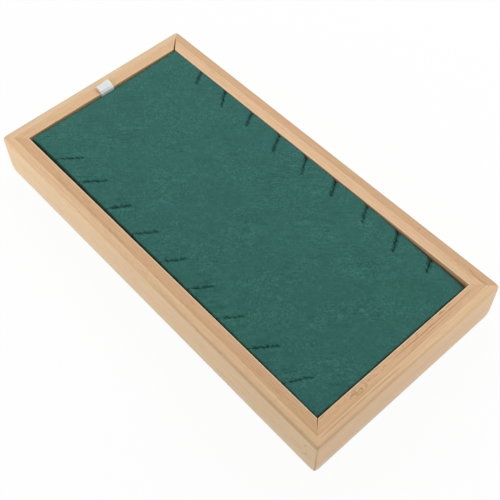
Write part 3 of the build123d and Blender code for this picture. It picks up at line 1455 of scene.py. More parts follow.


# What differs from rail to rail: tones, flecks, knuckles, lines and marks, and the painted
# shade and highlight on the edges.
RAIL_LOOKS: dict[Side, dict[str, object]] = {
    Side.LEFT: {
        "outer_tone": "#ECCAA8",
        "inner_tone": "#DEB893",
        # Painted shade on the outer top edge, rising towards the front end.
        "rubbed_start": 60 * MM,
        "rubbed_full": -120 * MM,
        "lines": (
            GrainLine(20 * MM, 120 * MM, 8.2 * MM, 0.5 * MM),
            GrainLine(-150 * MM, -60 * MM, 10.6 * MM, -0.5 * MM, strength=0.3),
        ),
        "marks": (
            Mark(0.0, -165 * MM, 27 * MM, 1.5 * MM, 0.5),
            Mark(0.0, -166 * MM, 15.5 * MM, 1.3 * MM, 0.5),
            Mark(0.0, -163.5 * MM, 12.4 * MM, 1.0 * MM, 0.4),
            Mark(0.4 * MM, -174.6 * MM, 1.0 * MM, 1.8 * MM, 0.9),
        ),
    },
    Side.RIGHT: {
        "outer_tone": "#DCB691",
        "inner_tone": "#EBC6A4",
        # Its inner face is painted lighter, for light that reaches it above the pad.
        "wall_tone": "#E8B68C",
        "knuckles": (Knuckle(-92 * MM, 4 * MM, 3 * MM, 0.25),),
        "rubbed_strength": 0.25,
        "lines": (
            GrainLine(150 * MM, 176 * MM, 6.3 * MM, 1.9 * MM, strength=0.7),
            GrainLine(160 * MM, 176 * MM, 3.4 * MM, 0.5 * MM, strength=0.4),
        ),
        "marks": (Mark(4.6 * MM, 105 * MM, 38 * MM, 0.9 * MM, 0.6),),
    },
    Side.BACK: {
        "outer_tone": "#ECCFB0",
        "inner_tone": "#E7C49F",
        "knuckles": (Knuckle(21 * MM, 11 * MM, 3.5 * MM, 0.25),),
        "rubbed_strength": 0.25,
        "crisp_strength": 0.2,
        "glue_strength": 0.12,
        "wall_tone": "#C8A775",
    },
    Side.FRONT: {
        "outer_tone": "#EECCA9",
        "inner_tone": "#E6C09B",
        "face_tone": "#FAD7B1",
        "knuckles": (Knuckle(40 * MM, 10.5 * MM, 8.0 * MM, 0.55),),
        # Painted shade on the outer top edge, rising towards the left end.
        "rubbed_strength": 0.28,
        "rubbed_start": -20 * MM,
        "rubbed_full": 85 * MM,
        "fleck_tone": "#94613B",
        "lines": (
            GrainLine(8 * MM, 84 * MM, 4.6 * MM, 0.4 * MM),
            GrainLine(-75 * MM, 10 * MM, 10.8 * MM, -0.6 * MM, strength=0.65),
            GrainLine(-60 * MM, -5 * MM, 8.6 * MM, 0.5 * MM, strength=0.4),
        ),
        "fleck_strength": 0.62,
        "fleck_cover": 0.47,
        "fleck_start": 6.5 * MM,
        "fleck_full": 11.0 * MM,
    },
}


@dataclass
class BambooFrame:
    """The frame: four rails, with what is glued, nailed and laid between them."""

    # The mitres at the back right, the front left and the two others, from the most open one.
    wide_gap: MitreGap = MitreGap(0.95 * MM, 0.36)
    narrow_gap: MitreGap = MitreGap(0.36 * MM, 0.70, 0.10 * MM)
    shut_gap: MitreGap = MitreGap(0.05 * MM, 0.75)

    def build(self) -> list[Piece]:
        """Make the rails and the felt, and dress the nodes that the frame holds.

        Returns:
            The pieces.
        """
        gaps = {
            Side.LEFT: (self.narrow_gap, self.shut_gap),
            Side.RIGHT: (self.wide_gap, self.shut_gap),
            Side.BACK: (self.shut_gap, self.wide_gap),
            Side.FRONT: (self.shut_gap, self.narrow_gap),
        }
        pieces = []
        # Each rail reads its own stretch of the noise.
        for number, side in enumerate(Side):
            size = RailSize.read(side)
            finish = LaminatedBamboo(
                f"lacquered laminated bamboo, {side.name.lower()} rail",
                roughness=0.45,
                reflection=0.35,
                side=side,
                size=size,
                seed=3.7 * number,
                **RAIL_LOOKS[side],
            )
            pieces.append(Rail(side, size, finish, gaps[side], 10 * number).build())
        return [*pieces, FeltLining().build(), *self.dress_nodes()]

    def dress_nodes(self) -> list[Piece]:
        """Give the panel, the ledgers and the V-nails their real materials.

        Returns:
            The nodes' objects.
        """
        pine = PlainWood(
            "planed pine batten", 0.7, 0.3, "#E2C697", "#C9985C", 2.2 * MM, 160 * MM, 0.6
        )
        finishes = {
            "base_panel": PlainWood("birch plywood, sanded", 0.75, 0.3),
            "ledger": pine,
            "v_nails": RolledSteel("rolled steel V-nail", 0.32),
        }
        dressed = []
        for kind, finish in finishes.items():
            material = finish.material()
            names = [name for name in frame["nodes"] if name.startswith(kind)]
            dressed += [dress_node(name, material) for name in names]
        return dressed


@dataclass
class PadForm:
    """The cushion's form without its slits: a crowned top, wrapped edges and a hem below."""

    rim_radius: float = 1.1 * MM
    # The side leans out by draw_in over this share of its fall.
    draw_in: float = 0.15 * MM
    draw_share: float = 5 / 7
    fold_radius: float = 1.0 * MM
    hem_shown: float = 7.0 * MM
    corner_start: float = 0.2 * MM
    crown_rise: float = 0.5 * MM
    crown_run: float = 30.0 * MM
    # The pleat beside each corner: its depth, its turn from the nearer side and half its width,
    # and the distances past the flat top over which it sets in.
    pleat_depth: float = 0.3 * MM
    pleat_turn: float = radians(27)
    pleat_reach: float = radians(5)
    pleat_span: Span = (2 * MM, 6 * MM)

    def __post_init__(self) -> None:
        """Read the pad's size from the frame and work out its edge line."""
        low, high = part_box("suede_cover")
        self.bottom = low[2]
        self.edge = np.array([high[0], high[1]])
        self.flat = self.edge - self.draw_in - self.rim_radius
        self.rim_top = high[2] - self.crown_rise
        self.outsets, self.heights, self.runs = self.edge_line()

    def edge_line(self) -> tuple[Array, Array, Array]:
        """The pad's edge as a line.

        It is a quarter round at the rim, a side that leans out by draw_in on its way down, a
        small round at the bottom and a flat stretch under the insert.

        Returns:
            Outset from the flat top, height, and distance run.
        """
        rim = np.linspace(0, pi / 2, 8)
        outsets = [self.rim_radius * np.sin(rim)]
        heights = [self.rim_top - self.rim_radius * (1 - np.cos(rim))]
        fall = np.linspace(0, 1, 8)[1:]
        side_top = self.rim_top - self.rim_radius
        side_bottom = self.bottom + self.fold_radius
        heights.append(side_top + fall * (side_bottom - side_top))
        outsets.append(self.rim_radius + self.draw_in * smooth_rise(fall, 0, self.draw_share))
        fold = np.linspace(0, pi / 2, 6)[1:]
        full = self.rim_radius + self.draw_in
        outsets.append(full - self.fold_radius * (1 - np.cos(fold)))
        heights.append(side_bottom - self.fold_radius * np.sin(fold))
        under = np.linspace(0, self.hem_shown, 4)[1:]
        outsets.append(full - self.fold_radius - under)
        heights.append(np.full(len(under), self.bottom))
        outset, height = np.concatenate(outsets), np.concatenate(heights)
        steps = np.hypot(np.diff(outset), np.diff(height))
        return outset, height, np.concatenate([[0.0], np.cumsum(steps)])

    def surface(self, across: Array, along: Array) -> Array:
        """The cushion's surface over unrolled X and Y.

        Inside the flat top a point keeps its place and rises with the crown, which is a
        parabola from each edge. Beyond it, the distance past the edge runs down the edge line,
        and a ring of such points is a rounded rectangle, whose corner arcs take what lies near
        the diagonal.

        Args:
            across: Unrolled X of each grid point.
            along: Unrolled Y of each grid point.

        Returns:
            Points of the grid.
        """
        far_x, far_y = np.abs(across) - self.flat[0], np.abs(along) - self.flat[1]
        past = np.maximum(far_x, far_y)
        rises = 1 - (1 - np.clip(-np.stack([far_x, far_y]) / self.crown_run, 0, 1)) ** 2
        top = self.rim_top + self.crown_rise * rises[0] * rises[1]
        outset = np.interp(past, self.runs, self.outsets)
        height = np.where(past > 0, np.interp(past, self.runs, self.heights), top)
        radius = np.maximum(self.corner_start + outset, self.corner_start)
        long_side = far_x >= far_y
        run = np.where(long_side, np.abs(along), np.abs(across))
        flat_run = np.where(long_side, self.flat[1], self.flat[0])
        flat_off = np.where(long_side, self.flat[0], self.flat[1])
        straight = flat_run - self.corner_start
        # The last term keeps the share finite on the flat top's own corner.
        bend = (run - straight) / (past + self.corner_start + 1e-9)
        turn = radians(45) * np.clip(bend, 0, 1)
        low_side = smooth_rise(past, *self.pleat_span) * (height > self.bottom + MM)
        pleat = np.exp(-(((turn - self.pleat_turn) / self.pleat_reach) ** 2))
        inner = radius - self.pleat_depth * low_side * pleat
        centre_run = flat_run + outset - radius
        arc_run = centre_run + inner * np.sin(turn)
        at_run = np.where(run > straight, arc_run, run * centre_run / straight)
        at_off = flat_off + outset - radius + inner * np.cos(turn)
        x = np.where(long_side, at_off, at_run) * np.sign(across)
        y = np.where(long_side, at_run, at_off) * np.sign(along)
        inside = past <= 0
        return np.stack([np.where(inside, across, x), np.where(inside, along, y), height], -1)


@dataclass(frozen=True)
class Slit:
    """One slit: its side and row, its line's shift and slope, how far in it reaches, how far
    its body and its mouth open, where the body starts, and the seed of its raggedness."""

    side: int
    row: float
    shift: float
    slope: float
    reach: float
    opening: float
    mouth: float
    start: float
    seed: int


@dataclass
class HandCutSlits:
    """The slits, cut by hand along both long sides of the pad."""

    form: PadForm
    pitch: float = 32.0 * MM
    depth: float = 10.0 * MM
    # From the back to the front: the shift of each slit's line along the pad's edge and its
    # reach inwards in millimetres, its slope, and how far its body and its mouth open.
    right_cuts: tuple[tuple[float, ...], ...] = (
        (-2.7, 14.6, 0.68, 0.8, 0.5),
        (-0.2, 16.0, 0.85, 1.0, 0.5),
        (-1.1, 15.5, 0.62, 0.6, 0.7),
        (-1.7, 18.2, 0.58, 0.6, 0.5),
        (0.0, 17.0, 0.65, 0.5, 1.4),
        (0.2, 16.4, 0.59, 0.9, 1.1),
        (-0.2, 16.0, 0.58, 0.45, 0.6),
        (0.8, 18.6, 0.61, 0.9, 0.7),
        (1.3, 14.4, 0.52, 0.9, 1.1),
    )
    left_cuts: tuple[tuple[float, ...], ...] = (
        (0.8, 18.8, 0.81, 0.42, 0.2),
        (2.2, 18.2, 0.82, 0.6, 0.2),
        (0.2, 17.5, 0.67, 0.57, 0.2),
        (0.9, 17.6, 0.74, 0.42, 0.2),
        (0.6, 17.2, 0.72, 0.42, 0.2),
        (2.0, 16.5, 0.75, 0.42, 0.2),
        (2.1, 16.0, 0.78, 0.27, 0.2),
        (2.8, 18.0, 0.73, 0.45, 0.2),
        (0.7, 19.3, 0.57, 0.18, 0.2),
    )
    # How far in from the pad's edge a body starts, and over what distance it opens.
    right_start: float = -1.0 * MM
    left_start: float = 1.8 * MM
    body_rise: float = 2.5 * MM
    # Half the width of a full opening, the waves by which it varies, and the distances from the
    # inner end over which the slit closes and ends.
    half_width: float = 0.62 * MM
    width_waves: float = 3.6 * MM
    taper: float = 7.0 * MM
    end_fall: float = 2.0 * MM
    # The wedge at the rim.
    mouth_half_width: float = 2.1 * MM
    mouth_length: float = 3.6 * MM
    mouth_depth: float = 5.0 * MM
    # How far the slit's line strays, and the lengths of its slow and its quick waves.
    wobble: float = 0.3 * MM
    wobble_waves: Span = (11 * MM, 3.2 * MM)
    # Distance of the lip's grid row from the slit's own, and how far off the rows give way.
    lip_row: float = 0.35 * MM
    influence: float = 6.0 * MM
    # How deep the rows beside a slit's own hang in it: their distances in millimetres, and
    # their shares of the depth.
    wall_rows: tuple[float, ...] = (0.25, 0.30, 0.35, 0.42)
    wall_shares: tuple[float, ...] = (1.0, 0.55, 0.07, 0.0)
    # The lips' dip, over which distance it fades, and its puckers.
    lip_dip: float = 0.5 * MM
    lip_round: float = 1.1 * MM
    pucker_waves: float = 3.1 * MM
    # How far from a slit's edge the flattened nap and painted shade reach.
    crush_reach: float = 2.0 * MM
    # The opening at which the flattened nap and painted shade are darkest.
    crush_opening: float = 0.6
    # The painted highlight on the puckered cloth past a left slit's end: how far past, its reach,
    # and its strength.
    stretch_off: float = 1.5 * MM
    stretch_reach: float = 0.8 * MM
    stretch: float = 0.8
    # The slant fades out over these distances in from the pad's edge and along it.
    slant_span: Span = (20 * MM, 46 * MM)
    slant_ends: Span = (132 * MM, 156 * MM)

    def __post_init__(self) -> None:
        """Work out the slits' floor and their rows, and lay them out."""
        form = self.form
        self.floor = form.rim_top - self.depth
        side = form.heights > form.bottom
        self.floor_run = np.interp(-self.floor, -form.heights[side], form.runs[side])
        count = len(self.right_cuts)
        self.rows = self.pitch * (np.arange(count)[::-1] - (count - 1) / 2)
        self.slits = self.lay_out(1, self.right_cuts, self.right_start)
        self.slits += self.lay_out(-1, self.left_cuts, self.left_start)

    def lay_out(self, side: int, cuts: tuple[tuple[float, ...], ...], start: float) -> list[Slit]:
        """Lay out one side's slits.

        Args:
            side: 1 for the right side, -1 for the left.
            cuts: Shift, reach, slope and opening of each slit's body and mouth.
            start: Distance from the pad's edge at which a body starts.

        Returns:
            The slits, from the back to the front.
        """
        slits = []
        for number, (shift, reach, slope, opening, mouth) in enumerate(cuts):
            sizes = (shift * MM, slope, reach * MM, opening, mouth, start)
            slits.append(Slit(side, self.rows[number], *sizes, 100 * (side + 2) + number))
        return slits

    def slant(self, points: Array, along: Array) -> Array:
        """Shift the rows so that each slit's row follows its slant.

        A row drops towards the front by its slope times the distance in from the pad's edge,
        fading out past the slits and near the pad's ends. Slopes and shifts between two slits
        are read off a straight line between theirs.

        Args:
            points: The grid.
            along: Unrolled Y of each grid point.

        Returns:
            The slanted grid.
        """
        inward = np.maximum(self.form.edge[0] - np.abs(points[..., 0]), 0.0)
        fade = 1 - smooth_rise(inward, *self.slant_span)
        ends = 1 - smooth_rise(np.abs(along), *self.slant_ends)
        moved = points.copy()
        for side in (1, -1):
            mine = [slit for slit in self.slits if slit.side == side][::-1]
            rows = [slit.row for slit in mine]
            slope = np.interp(along, rows, [slit.slope for slit in mine])
            shift = np.interp(along, rows, [slit.shift for slit in mine])
            drop = (shift - slope * inward) * fade * ends
            moved[..., 1] += np.where(np.sign(points[..., 0]) == side, drop, 0.0)
        return moved

    def cut(self, points: Array, across: Array, along: Array) -> tuple[Array, Array, Array]:
        """Open the slits in the slanted grid.

        Args:
            points: The slanted grid.
            across: Unrolled X of the columns.
            along: Unrolled Y of the rows.

        Returns:
            The cut grid, how near each point is to a slit's edge, below 0 for the painted
            highlight past a left slit's end, and how deep it lies in one.
        """
        cut, near = points.copy(), np.zeros(points.shape[:2])
        depth = np.zeros_like(near)
        off = np.abs(across) - self.form.flat[0]
        for slit in self.slits:
            # The column just past the slit's end may show where the cloth is stretched.
            long = (off > -slit.reach - 4 * MM) & (off < self.floor_run)
            columns = np.flatnonzero((np.sign(across) == slit.side) & long)
            rows = np.flatnonzero(np.abs(along - slit.row) <= self.influence + 1e-6)
            block, past = np.ix_(rows, columns), np.maximum(off[columns], 0.0)[None, :]
            offset = (along[rows] - slit.row)[:, None]
            cut[block], near[block], depth[block] = self.open(slit, points[block], offset, past)
        return cut, near, depth

    def open(
        self, slit: Slit, points: Array, offset: Array, past: Array
    ) -> tuple[Array, Array, Array]:
        """Open one slit.

        The rows beside the slit's own part to its half width, which waves along it, and the
        rows further out give way by less. The innermost rows go down to the slit's floor, and
        the lips dip and pucker. Over the rim and down the side, a column's floor point runs out
        to the pad's edge, so that the slit is open there.

        Args:
            slit: The slit.
            points: The grid round it.
            offset: Each row's distance from the slit's own.
            past: Each column's distance past the flat top.

        Returns:
            As for cut.
        """
        form, base, off = self.form, self.lip_row, np.abs(offset)
        inward, run = form.edge[0] - np.abs(points[..., 0]), past / self.floor_run
        rise = smooth_rise(inward, slit.start, slit.start + self.body_rise)
        uneven = np.clip(0.4 + 0.75 * waves(inward, self.width_waves, slit.seed), 0, 1)
        end = 1 - smooth_rise(inward, slit.reach - self.end_fall, slit.reach)
        half = self.half_opening(slit, inward, points[..., 2], uneven * rise, run)
        give = 1 - smooth_rise(off, base, self.influence)
        spread = np.where(off <= base, off * half / base, off + (half - base) * give)
        slow, quick = self.wobble_waves
        stray = waves(inward, slow, slit.seed + 50) + waves(inward, quick, slit.seed + 60)
        down = np.interp(off / MM, self.wall_rows, self.wall_shares) * end * (run < 1)
        pucker = waves(inward + 0.7 * offset, self.pucker_waves, slit.seed + 90)
        lip = np.exp(-np.maximum(off - base, 0) / self.lip_round)
        dip = self.lip_dip * lip * (0.9 + 0.5 * pucker) * rise * end
        lean = np.clip(past / (form.rim_radius * pi / 2), 0, 1) * pi / 2
        shape = points.copy()
        shape[..., 0] -= slit.side * dip * np.sin(lean)
        shape[..., 2] -= dip * np.cos(lean)
        shape[..., 1] += (spread - off) * np.sign(offset) + self.wobble * stray * give * end
        out = form.flat[0] + np.clip(run, 0, 1) * (form.edge[0] - form.flat[0])
        floor_x = np.where(past > 0, out, np.abs(points[..., 0]))
        shape[..., 0] += down * (slit.side * floor_x - shape[..., 0])
        shape[..., 2] += down * (self.floor - shape[..., 2])
        # How near the slit's edge is, for the flattened nap and painted shade along it.
        near = np.exp(-((np.maximum(spread - half, 0) / self.crush_reach) ** 2)) * end
        near = near * np.clip(0.2 + rise * end, 0, 1) * (0.5 + 0.5 * uneven)
        near = near * (0.3 + 0.7 * min(slit.opening / self.crush_opening, 1.0))
        # A painted highlight on the puckered cloth past a left slit's end, given below 0.
        apart = np.hypot(inward - slit.reach - self.stretch_off, offset) / self.stretch_reach
        stretched = self.stretch * np.exp(-(apart ** 2)) * (slit.side < 0)
        return shape, near - stretched, down

    def half_opening(
        self, slit: Slit, inward: Array, height: Array, body: Array, run: Array
    ) -> Array:
        """Half the opening along a slit.

        The body varies between almost shut and its full half width and closes over the taper.
        The mouth is a wedge at the rim, which closes down the pad's side.

        Args:
            slit: The slit.
            inward: Distance in from the pad's edge.
            height: Height of each point.
            body: How open the body is.
            run: Distance past the flat top, as a share of the run to the slit's floor.

        Returns:
            The half width.
        """
        half = self.half_width * slit.opening * (0.08 + 0.92 * body)
        mouth = np.clip(1 - inward / self.mouth_length, 0, 1) ** 1.3
        sunk = np.clip((self.form.rim_top - height) / self.mouth_depth, 0, 1)
        wide = self.mouth_half_width * slit.mouth * (1 - 0.85 * sunk)
        closing = smooth_rise(1 - run, 0, 0.12)
        taper = 1 - smooth_rise(inward, slit.reach - self.taper, slit.reach)
        return (half + np.maximum(wide - half, 0) * mouth) * closing * (0.1 + 0.9 * taper)


@dataclass
class CoverCloth:
    """The cloth's own movement when it was pulled over the foam, from a cloth simulation."""

    form: PadForm
    slits: HandCutSlits
    cell: float = 4.0 * MM
    cap: float = 0.6 * MM
    pressure: float = 4.0
    frames: int = 20
    # The cloth is held past the flat top over the first distances, beside a slit by a bell
    # curve of this reach, and partly in from the pad's edge over the second distances.
    hem_span: Span = (8 * MM, 14 * MM)
    slit_reach: float = 2.5 * MM
    glue_span: Span = (20 * MM, 40 * MM)
    glue_hold: float = 0.3

    def shift(self, across: Array, along: Array) -> Array:
        """How far the cloth stands off the plain form.

        Each point's move is capped and read off the coarse grid between its four neighbours.

        Args:
            across: Unrolled X of the fine grid's columns.
            along: Unrolled Y of the fine grid's rows.

        Returns:
            A shift for each point of the fine grid.
        """
        columns, rows = (
            np.linspace(-half, half, 2 * round(half / self.cell) + 1)
            for half in self.form.flat + self.form.runs[-1]
        )
        u, v = np.meshgrid(columns, rows)
        start = self.slits.slant(self.form.surface(u, v), v)
        move = self.simulate(start, self.hold(start, u, v)) - start
        size = np.linalg.norm(move, axis=-1, keepdims=True)
        # The last term keeps a still point's share finite.
        move *= self.cap * np.tanh(size / self.cap) / np.maximum(size, 1e-9)
        column = np.clip(np.searchsorted(columns, across) - 1, 0, len(columns) - 2)
        row = np.clip(np.searchsorted(rows, along) - 1, 0, len(rows) - 2)
        right = ((across - columns[column]) / (columns[1] - columns[0]))[None, :, None]
        up = ((along - rows[row]) / (rows[1] - rows[0]))[:, None, None]
        low, high = (
            move[line][:, column] * (1 - right) + move[line][:, column + 1] * right
            for line in (row, row + 1)
        )
        return low * (1 - up) + high * up

    def hold(self, start: Array, u: Array, v: Array) -> Array:
        """How firmly the hem, the slits and the glue in the middle hold the cloth.

        Args:
            start: The coarse grid at rest.
            u: Unrolled X of its points.
            v: Unrolled Y of its points.

        Returns:
            A share from 0 to 1 for each point.
        """
        flat = self.form.flat
        past = np.maximum(np.abs(u) - flat[0], np.abs(v) - flat[1])
        held = smooth_rise(past, *self.hem_span)
        inward = self.form.edge[0] - np.abs(start[..., 0])
        for slit in self.slits.slits:
            near = np.exp(-(((v - slit.row) / self.slit_reach) ** 2))
            on = (np.sign(u) == slit.side) & (inward < slit.reach)
            held = np.maximum(held, np.where(on, near, 0.0))
        return np.maximum(held, self.glue_hold * smooth_rise(inward, *self.glue_span))

    def simulate(self, start: Array, hold: Array) -> Array:
        """Blow the cover up a little from inside.

        Args:
            start: The coarse grid at rest.
            hold: How firmly each point is held.

        Returns:
            The grid after the last frame.
        """
        cloth = make_mesh("cover_cloth", start, [grid_faces(*hold.shape)])
        shares = np.round(hold.ravel(), 2)
        group = cloth.vertex_groups.new(name="held")
        for share in np.unique(shares):
            group.add(np.flatnonzero(shares == share).tolist(), float(share), "REPLACE")
        settings = cloth.modifiers.new("cloth", "CLOTH").settings
        settings.quality = 6
        settings.mass = 0.2
        settings.tension_stiffness = 12
        settings.compression_stiffness = 12
        settings.shear_stiffness = 5
        settings.bending_stiffness = 0.6
        settings.use_pressure = True
        settings.uniform_pressure_force = self.pressure
        settings.vertex_group_mass = group.name
        settings.effector_weights.gravity = 0
        scene = bpy.context.scene
        for number in range(1, self.frames + 1):
            scene.frame_set(number)
        shape = cloth.evaluated_get(bpy.context.evaluated_depsgraph_get()).data
        points = np.empty(start.size)
        shape.vertices.foreach_get("co", points)
        scene.frame_set(1)
        mesh = cloth.data
        bpy.data.objects.remove(cloth)
        bpy.data.meshes.remove(mesh)
        return points.reshape(start.shape)


@dataclass
class AskewSeat:
    """How the finished cushion lies in the frame, as it was pushed in askew."""

    form: PadForm
    # The shares of the pad's height over which it starts to move.
    upper_span: Span = (0.2, 0.8)
    # The rim's shift across and its turn.
    shift: float = 0.45 * MM
    turn: float = 0.0075
    # How far the right and the front edge bulge, and from where to where.
    right_bulge: float = 0.85 * MM
    right_bulge_span: Span = (40 * MM, 70 * MM)
    front_bulge: float = 0.3 * MM
    front_bulge_span: Span = (130 * MM, 155 * MM)
    # Corners that stand out or are drawn in across: their signs of X and Y, by how much, and
    # over which reach.
    corners: tuple[tuple[int, int, float, float], ...] = (
        (1, -1, -1.3 * MM, 10 * MM),
        (-1, 1, 1.1 * MM, 9 * MM),
    )
    # It lies deeper along the right edge towards the front, over these stretches of X and of Y.
    right_sink: float = 2.2 * MM
    right_sink_span: Span = (56 * MM, 72 * MM)
    front_sink_span: Span = (50 * MM, 150 * MM)
    # And at the ribbon, over a stretch of Y, as wide as the reach.
    ribbon_sink: float = 0.9 * MM
    ribbon_sink_span: Span = (146 * MM, 158 * MM)
    ribbon_sink_reach: float = 48 * MM
    # How far the wrapped edge wavers, the waves' length, and from where to where past the edge.
    waver: float = 0.22 * MM
    waver_run: float = 15 * MM
    waver_span: Span = (-12 * MM, -2 * MM)
    wall_play: float = 0.05 * MM
    ribbon_room: float = 1.05 * MM

    def lean(self, points: Array) -> Array:
        """Lean the cushion.

        Its upper part shifts across by a straight line in Y, which fades out below. The right
        and the front edge bulge, and two corners move across by a bell curve. The frame's
        walls hold whatever would pass them. The top sinks along the right edge and the ribbon,
        and the wrapped edges waver.

        Args:
            points: The grid.

        Returns:
            The leaning grid.
        """
        form = self.form
        x, y, z = np.moveaxis(points, -1, 0)
        share = (z - form.bottom) / (form.rim_top - form.bottom)
        upper = smooth_rise(share, *self.upper_span)
        bulge = self.right_bulge * smooth_rise(x, *self.right_bulge_span)
        across = x + upper * (self.shift + self.turn * y + bulge)
        along = y - upper * self.front_bulge * smooth_rise(-y, *self.front_bulge_span)
        for x_sign, y_sign, out, reach in self.corners:
            apart = np.hypot(x - x_sign * form.edge[0], y - y_sign * form.edge[1])
            across += upper * x_sign * out * np.exp(-((apart / reach) ** 2))
        sides, ends = (
            smooth_rise(np.abs(run) - edge, *self.waver_span)
            for run, edge in zip((x, y), form.edge)
        )
        across += upper * sides * self.waver * waves(y, self.waver_run, 70)
        along += upper * ends * self.waver * waves(x, self.waver_run, 71)
        right = smooth_rise(x, *self.right_sink_span) * smooth_rise(-y, *self.front_sink_span)
        ribbon = smooth_rise(y, *self.ribbon_sink_span)
        ribbon = ribbon * np.exp(-((x / self.ribbon_sink_reach) ** 4))
        z = z - upper * (self.right_sink * right + self.ribbon_sink * ribbon)
        wall = np.array(tray_halves()) - RailSize.read(Side.LEFT).width - self.wall_play
        across = np.clip(across, -wall[0], wall[0])
        along = np.clip(along, -wall[1], wall[1] + self.wall_play - self.ribbon_room)
        return np.stack([across, along, z], -1)


@dataclass
class PaddedInsert:
    """The padded insert: suede wrapped over foam and a board, slit along both long sides."""

    # Lines across the grid: wide cells in the middle, and then a number of finer ones.
    middle_reach: float = 50 * MM
    middle_cell: float = 3.2 * MM
    edge_lines: int = 42
    # Lines along it: their distances from a slit's own, in millimetres, and the numbers of
    # stretches between two slits and of lines beyond the last.
    slit_lines: tuple[float, ...] = (0.25, 0.3, 0.35, 0.42, 0.55, 0.8, 1.2, 1.8, 2.7, 4.0, 6.0)
    lines_between: int = 8
    lines_beyond: int = 12

    def __post_init__(self) -> None:
        """Make the form and its slits."""
        self.form = PadForm()
        self.slits = HandCutSlits(self.form)

    def lines_across(self) -> Array:
        """Place the columns of the pad's grid.

        Returns:
            The unrolled X of each.
        """
        flat, runs = self.form.flat[0], self.form.runs
        inner = np.arange(0, self.middle_reach, self.middle_cell)
        outer = np.linspace(self.middle_reach, flat, self.edge_lines)
        half = np.concatenate([inner, outer, flat + runs[1:]])
        return np.concatenate([-half[:0:-1], half])

    def lines_along(self) -> Array:
        """Place the rows of the grid, close together at the slits.

        Returns:
            The unrolled Y of each.
        """
        form, slit_rows = self.form, self.slits.rows
        near = np.array(self.slit_lines) * MM
        offsets = np.concatenate([-near[::-1], [0.0], near])
        rows = [row + offsets for row in slit_rows]
        gap = np.linspace(near[-1], self.slits.pitch - near[-1], self.lines_between)[1:-1]
        rows += [row + gap for row in slit_rows[1:]]
        beyond = np.linspace(slit_rows[0] + near[-1], form.flat[1], self.lines_beyond)[1:]
        beyond = np.concatenate([beyond, form.flat[1] + form.runs[1:]])
        return np.sort(np.concatenate([*rows, beyond, -beyond]))

    def build(self) -> list[Piece]:
        """Make the suede pad with its slits, and dress the board and the card.

        Returns:
            The pieces.
        """
        across, along = self.lines_across(), self.lines_along()
        u, v = np.meshgrid(across, along)
        points = self.slits.slant(self.form.surface(u, v), v)
        points = points + CoverCloth(self.form, self.slits).shift(across, along)
        points, near, depth = self.slits.cut(points, across, along)
        quads, rim = grid_faces(*u.shape), grid_rim(*u.shape)
        leaning = AskewSeat(self.form).lean(points)
        pad = make_mesh("suede_pad", leaning, [quads, rim[None, ::-1]])
        # Nearness to a slit's edge, for painted shade there and a painted highlight past its end.
        edge = pad.data.attributes.new(SLIT_EDGE, "FLOAT", "POINT")
        edge.data.foreach_set("value", near.astype(np.float32).ravel())
        suede = MicrofibreSuede("microfibre suede, bottle green", 0.92, 0.25)
        # The foam's dark tone paints the shade deep in the slits.
        foam = Speckled("open-cell foam, dark", 0.95, 0.1, "#122A25", "#1C3A33", 0.5 * MM)
        for finish in (suede, foam):
            pad.data.materials.append(finish.material())
        # The dark foam paints the shade where a face lies more than half way down a slit.
        numbers = np.zeros(len(pad.data.polygons), np.int32)
        numbers[: len(quads)] = depth.ravel()[quads].mean(1) > 0.5
        pad.data.polygons.foreach_set("material_index", numbers)
        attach(pad, "insert")
        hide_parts("suede_cover", "foam_pad")
        board = Speckled("hardboard", 0.8, 0.3, "#8A6A4A", "#9C7B58", 1.2 * MM)
        card = Speckled("grey card, calendered", 0.7, 0.4, "#585857", "#636361", 0.5 * MM)
        under = {"insert_board": board, "backing_card": card}
        return [pad, *(dress_node(name, finish.material()) for name, finish in under.items())]


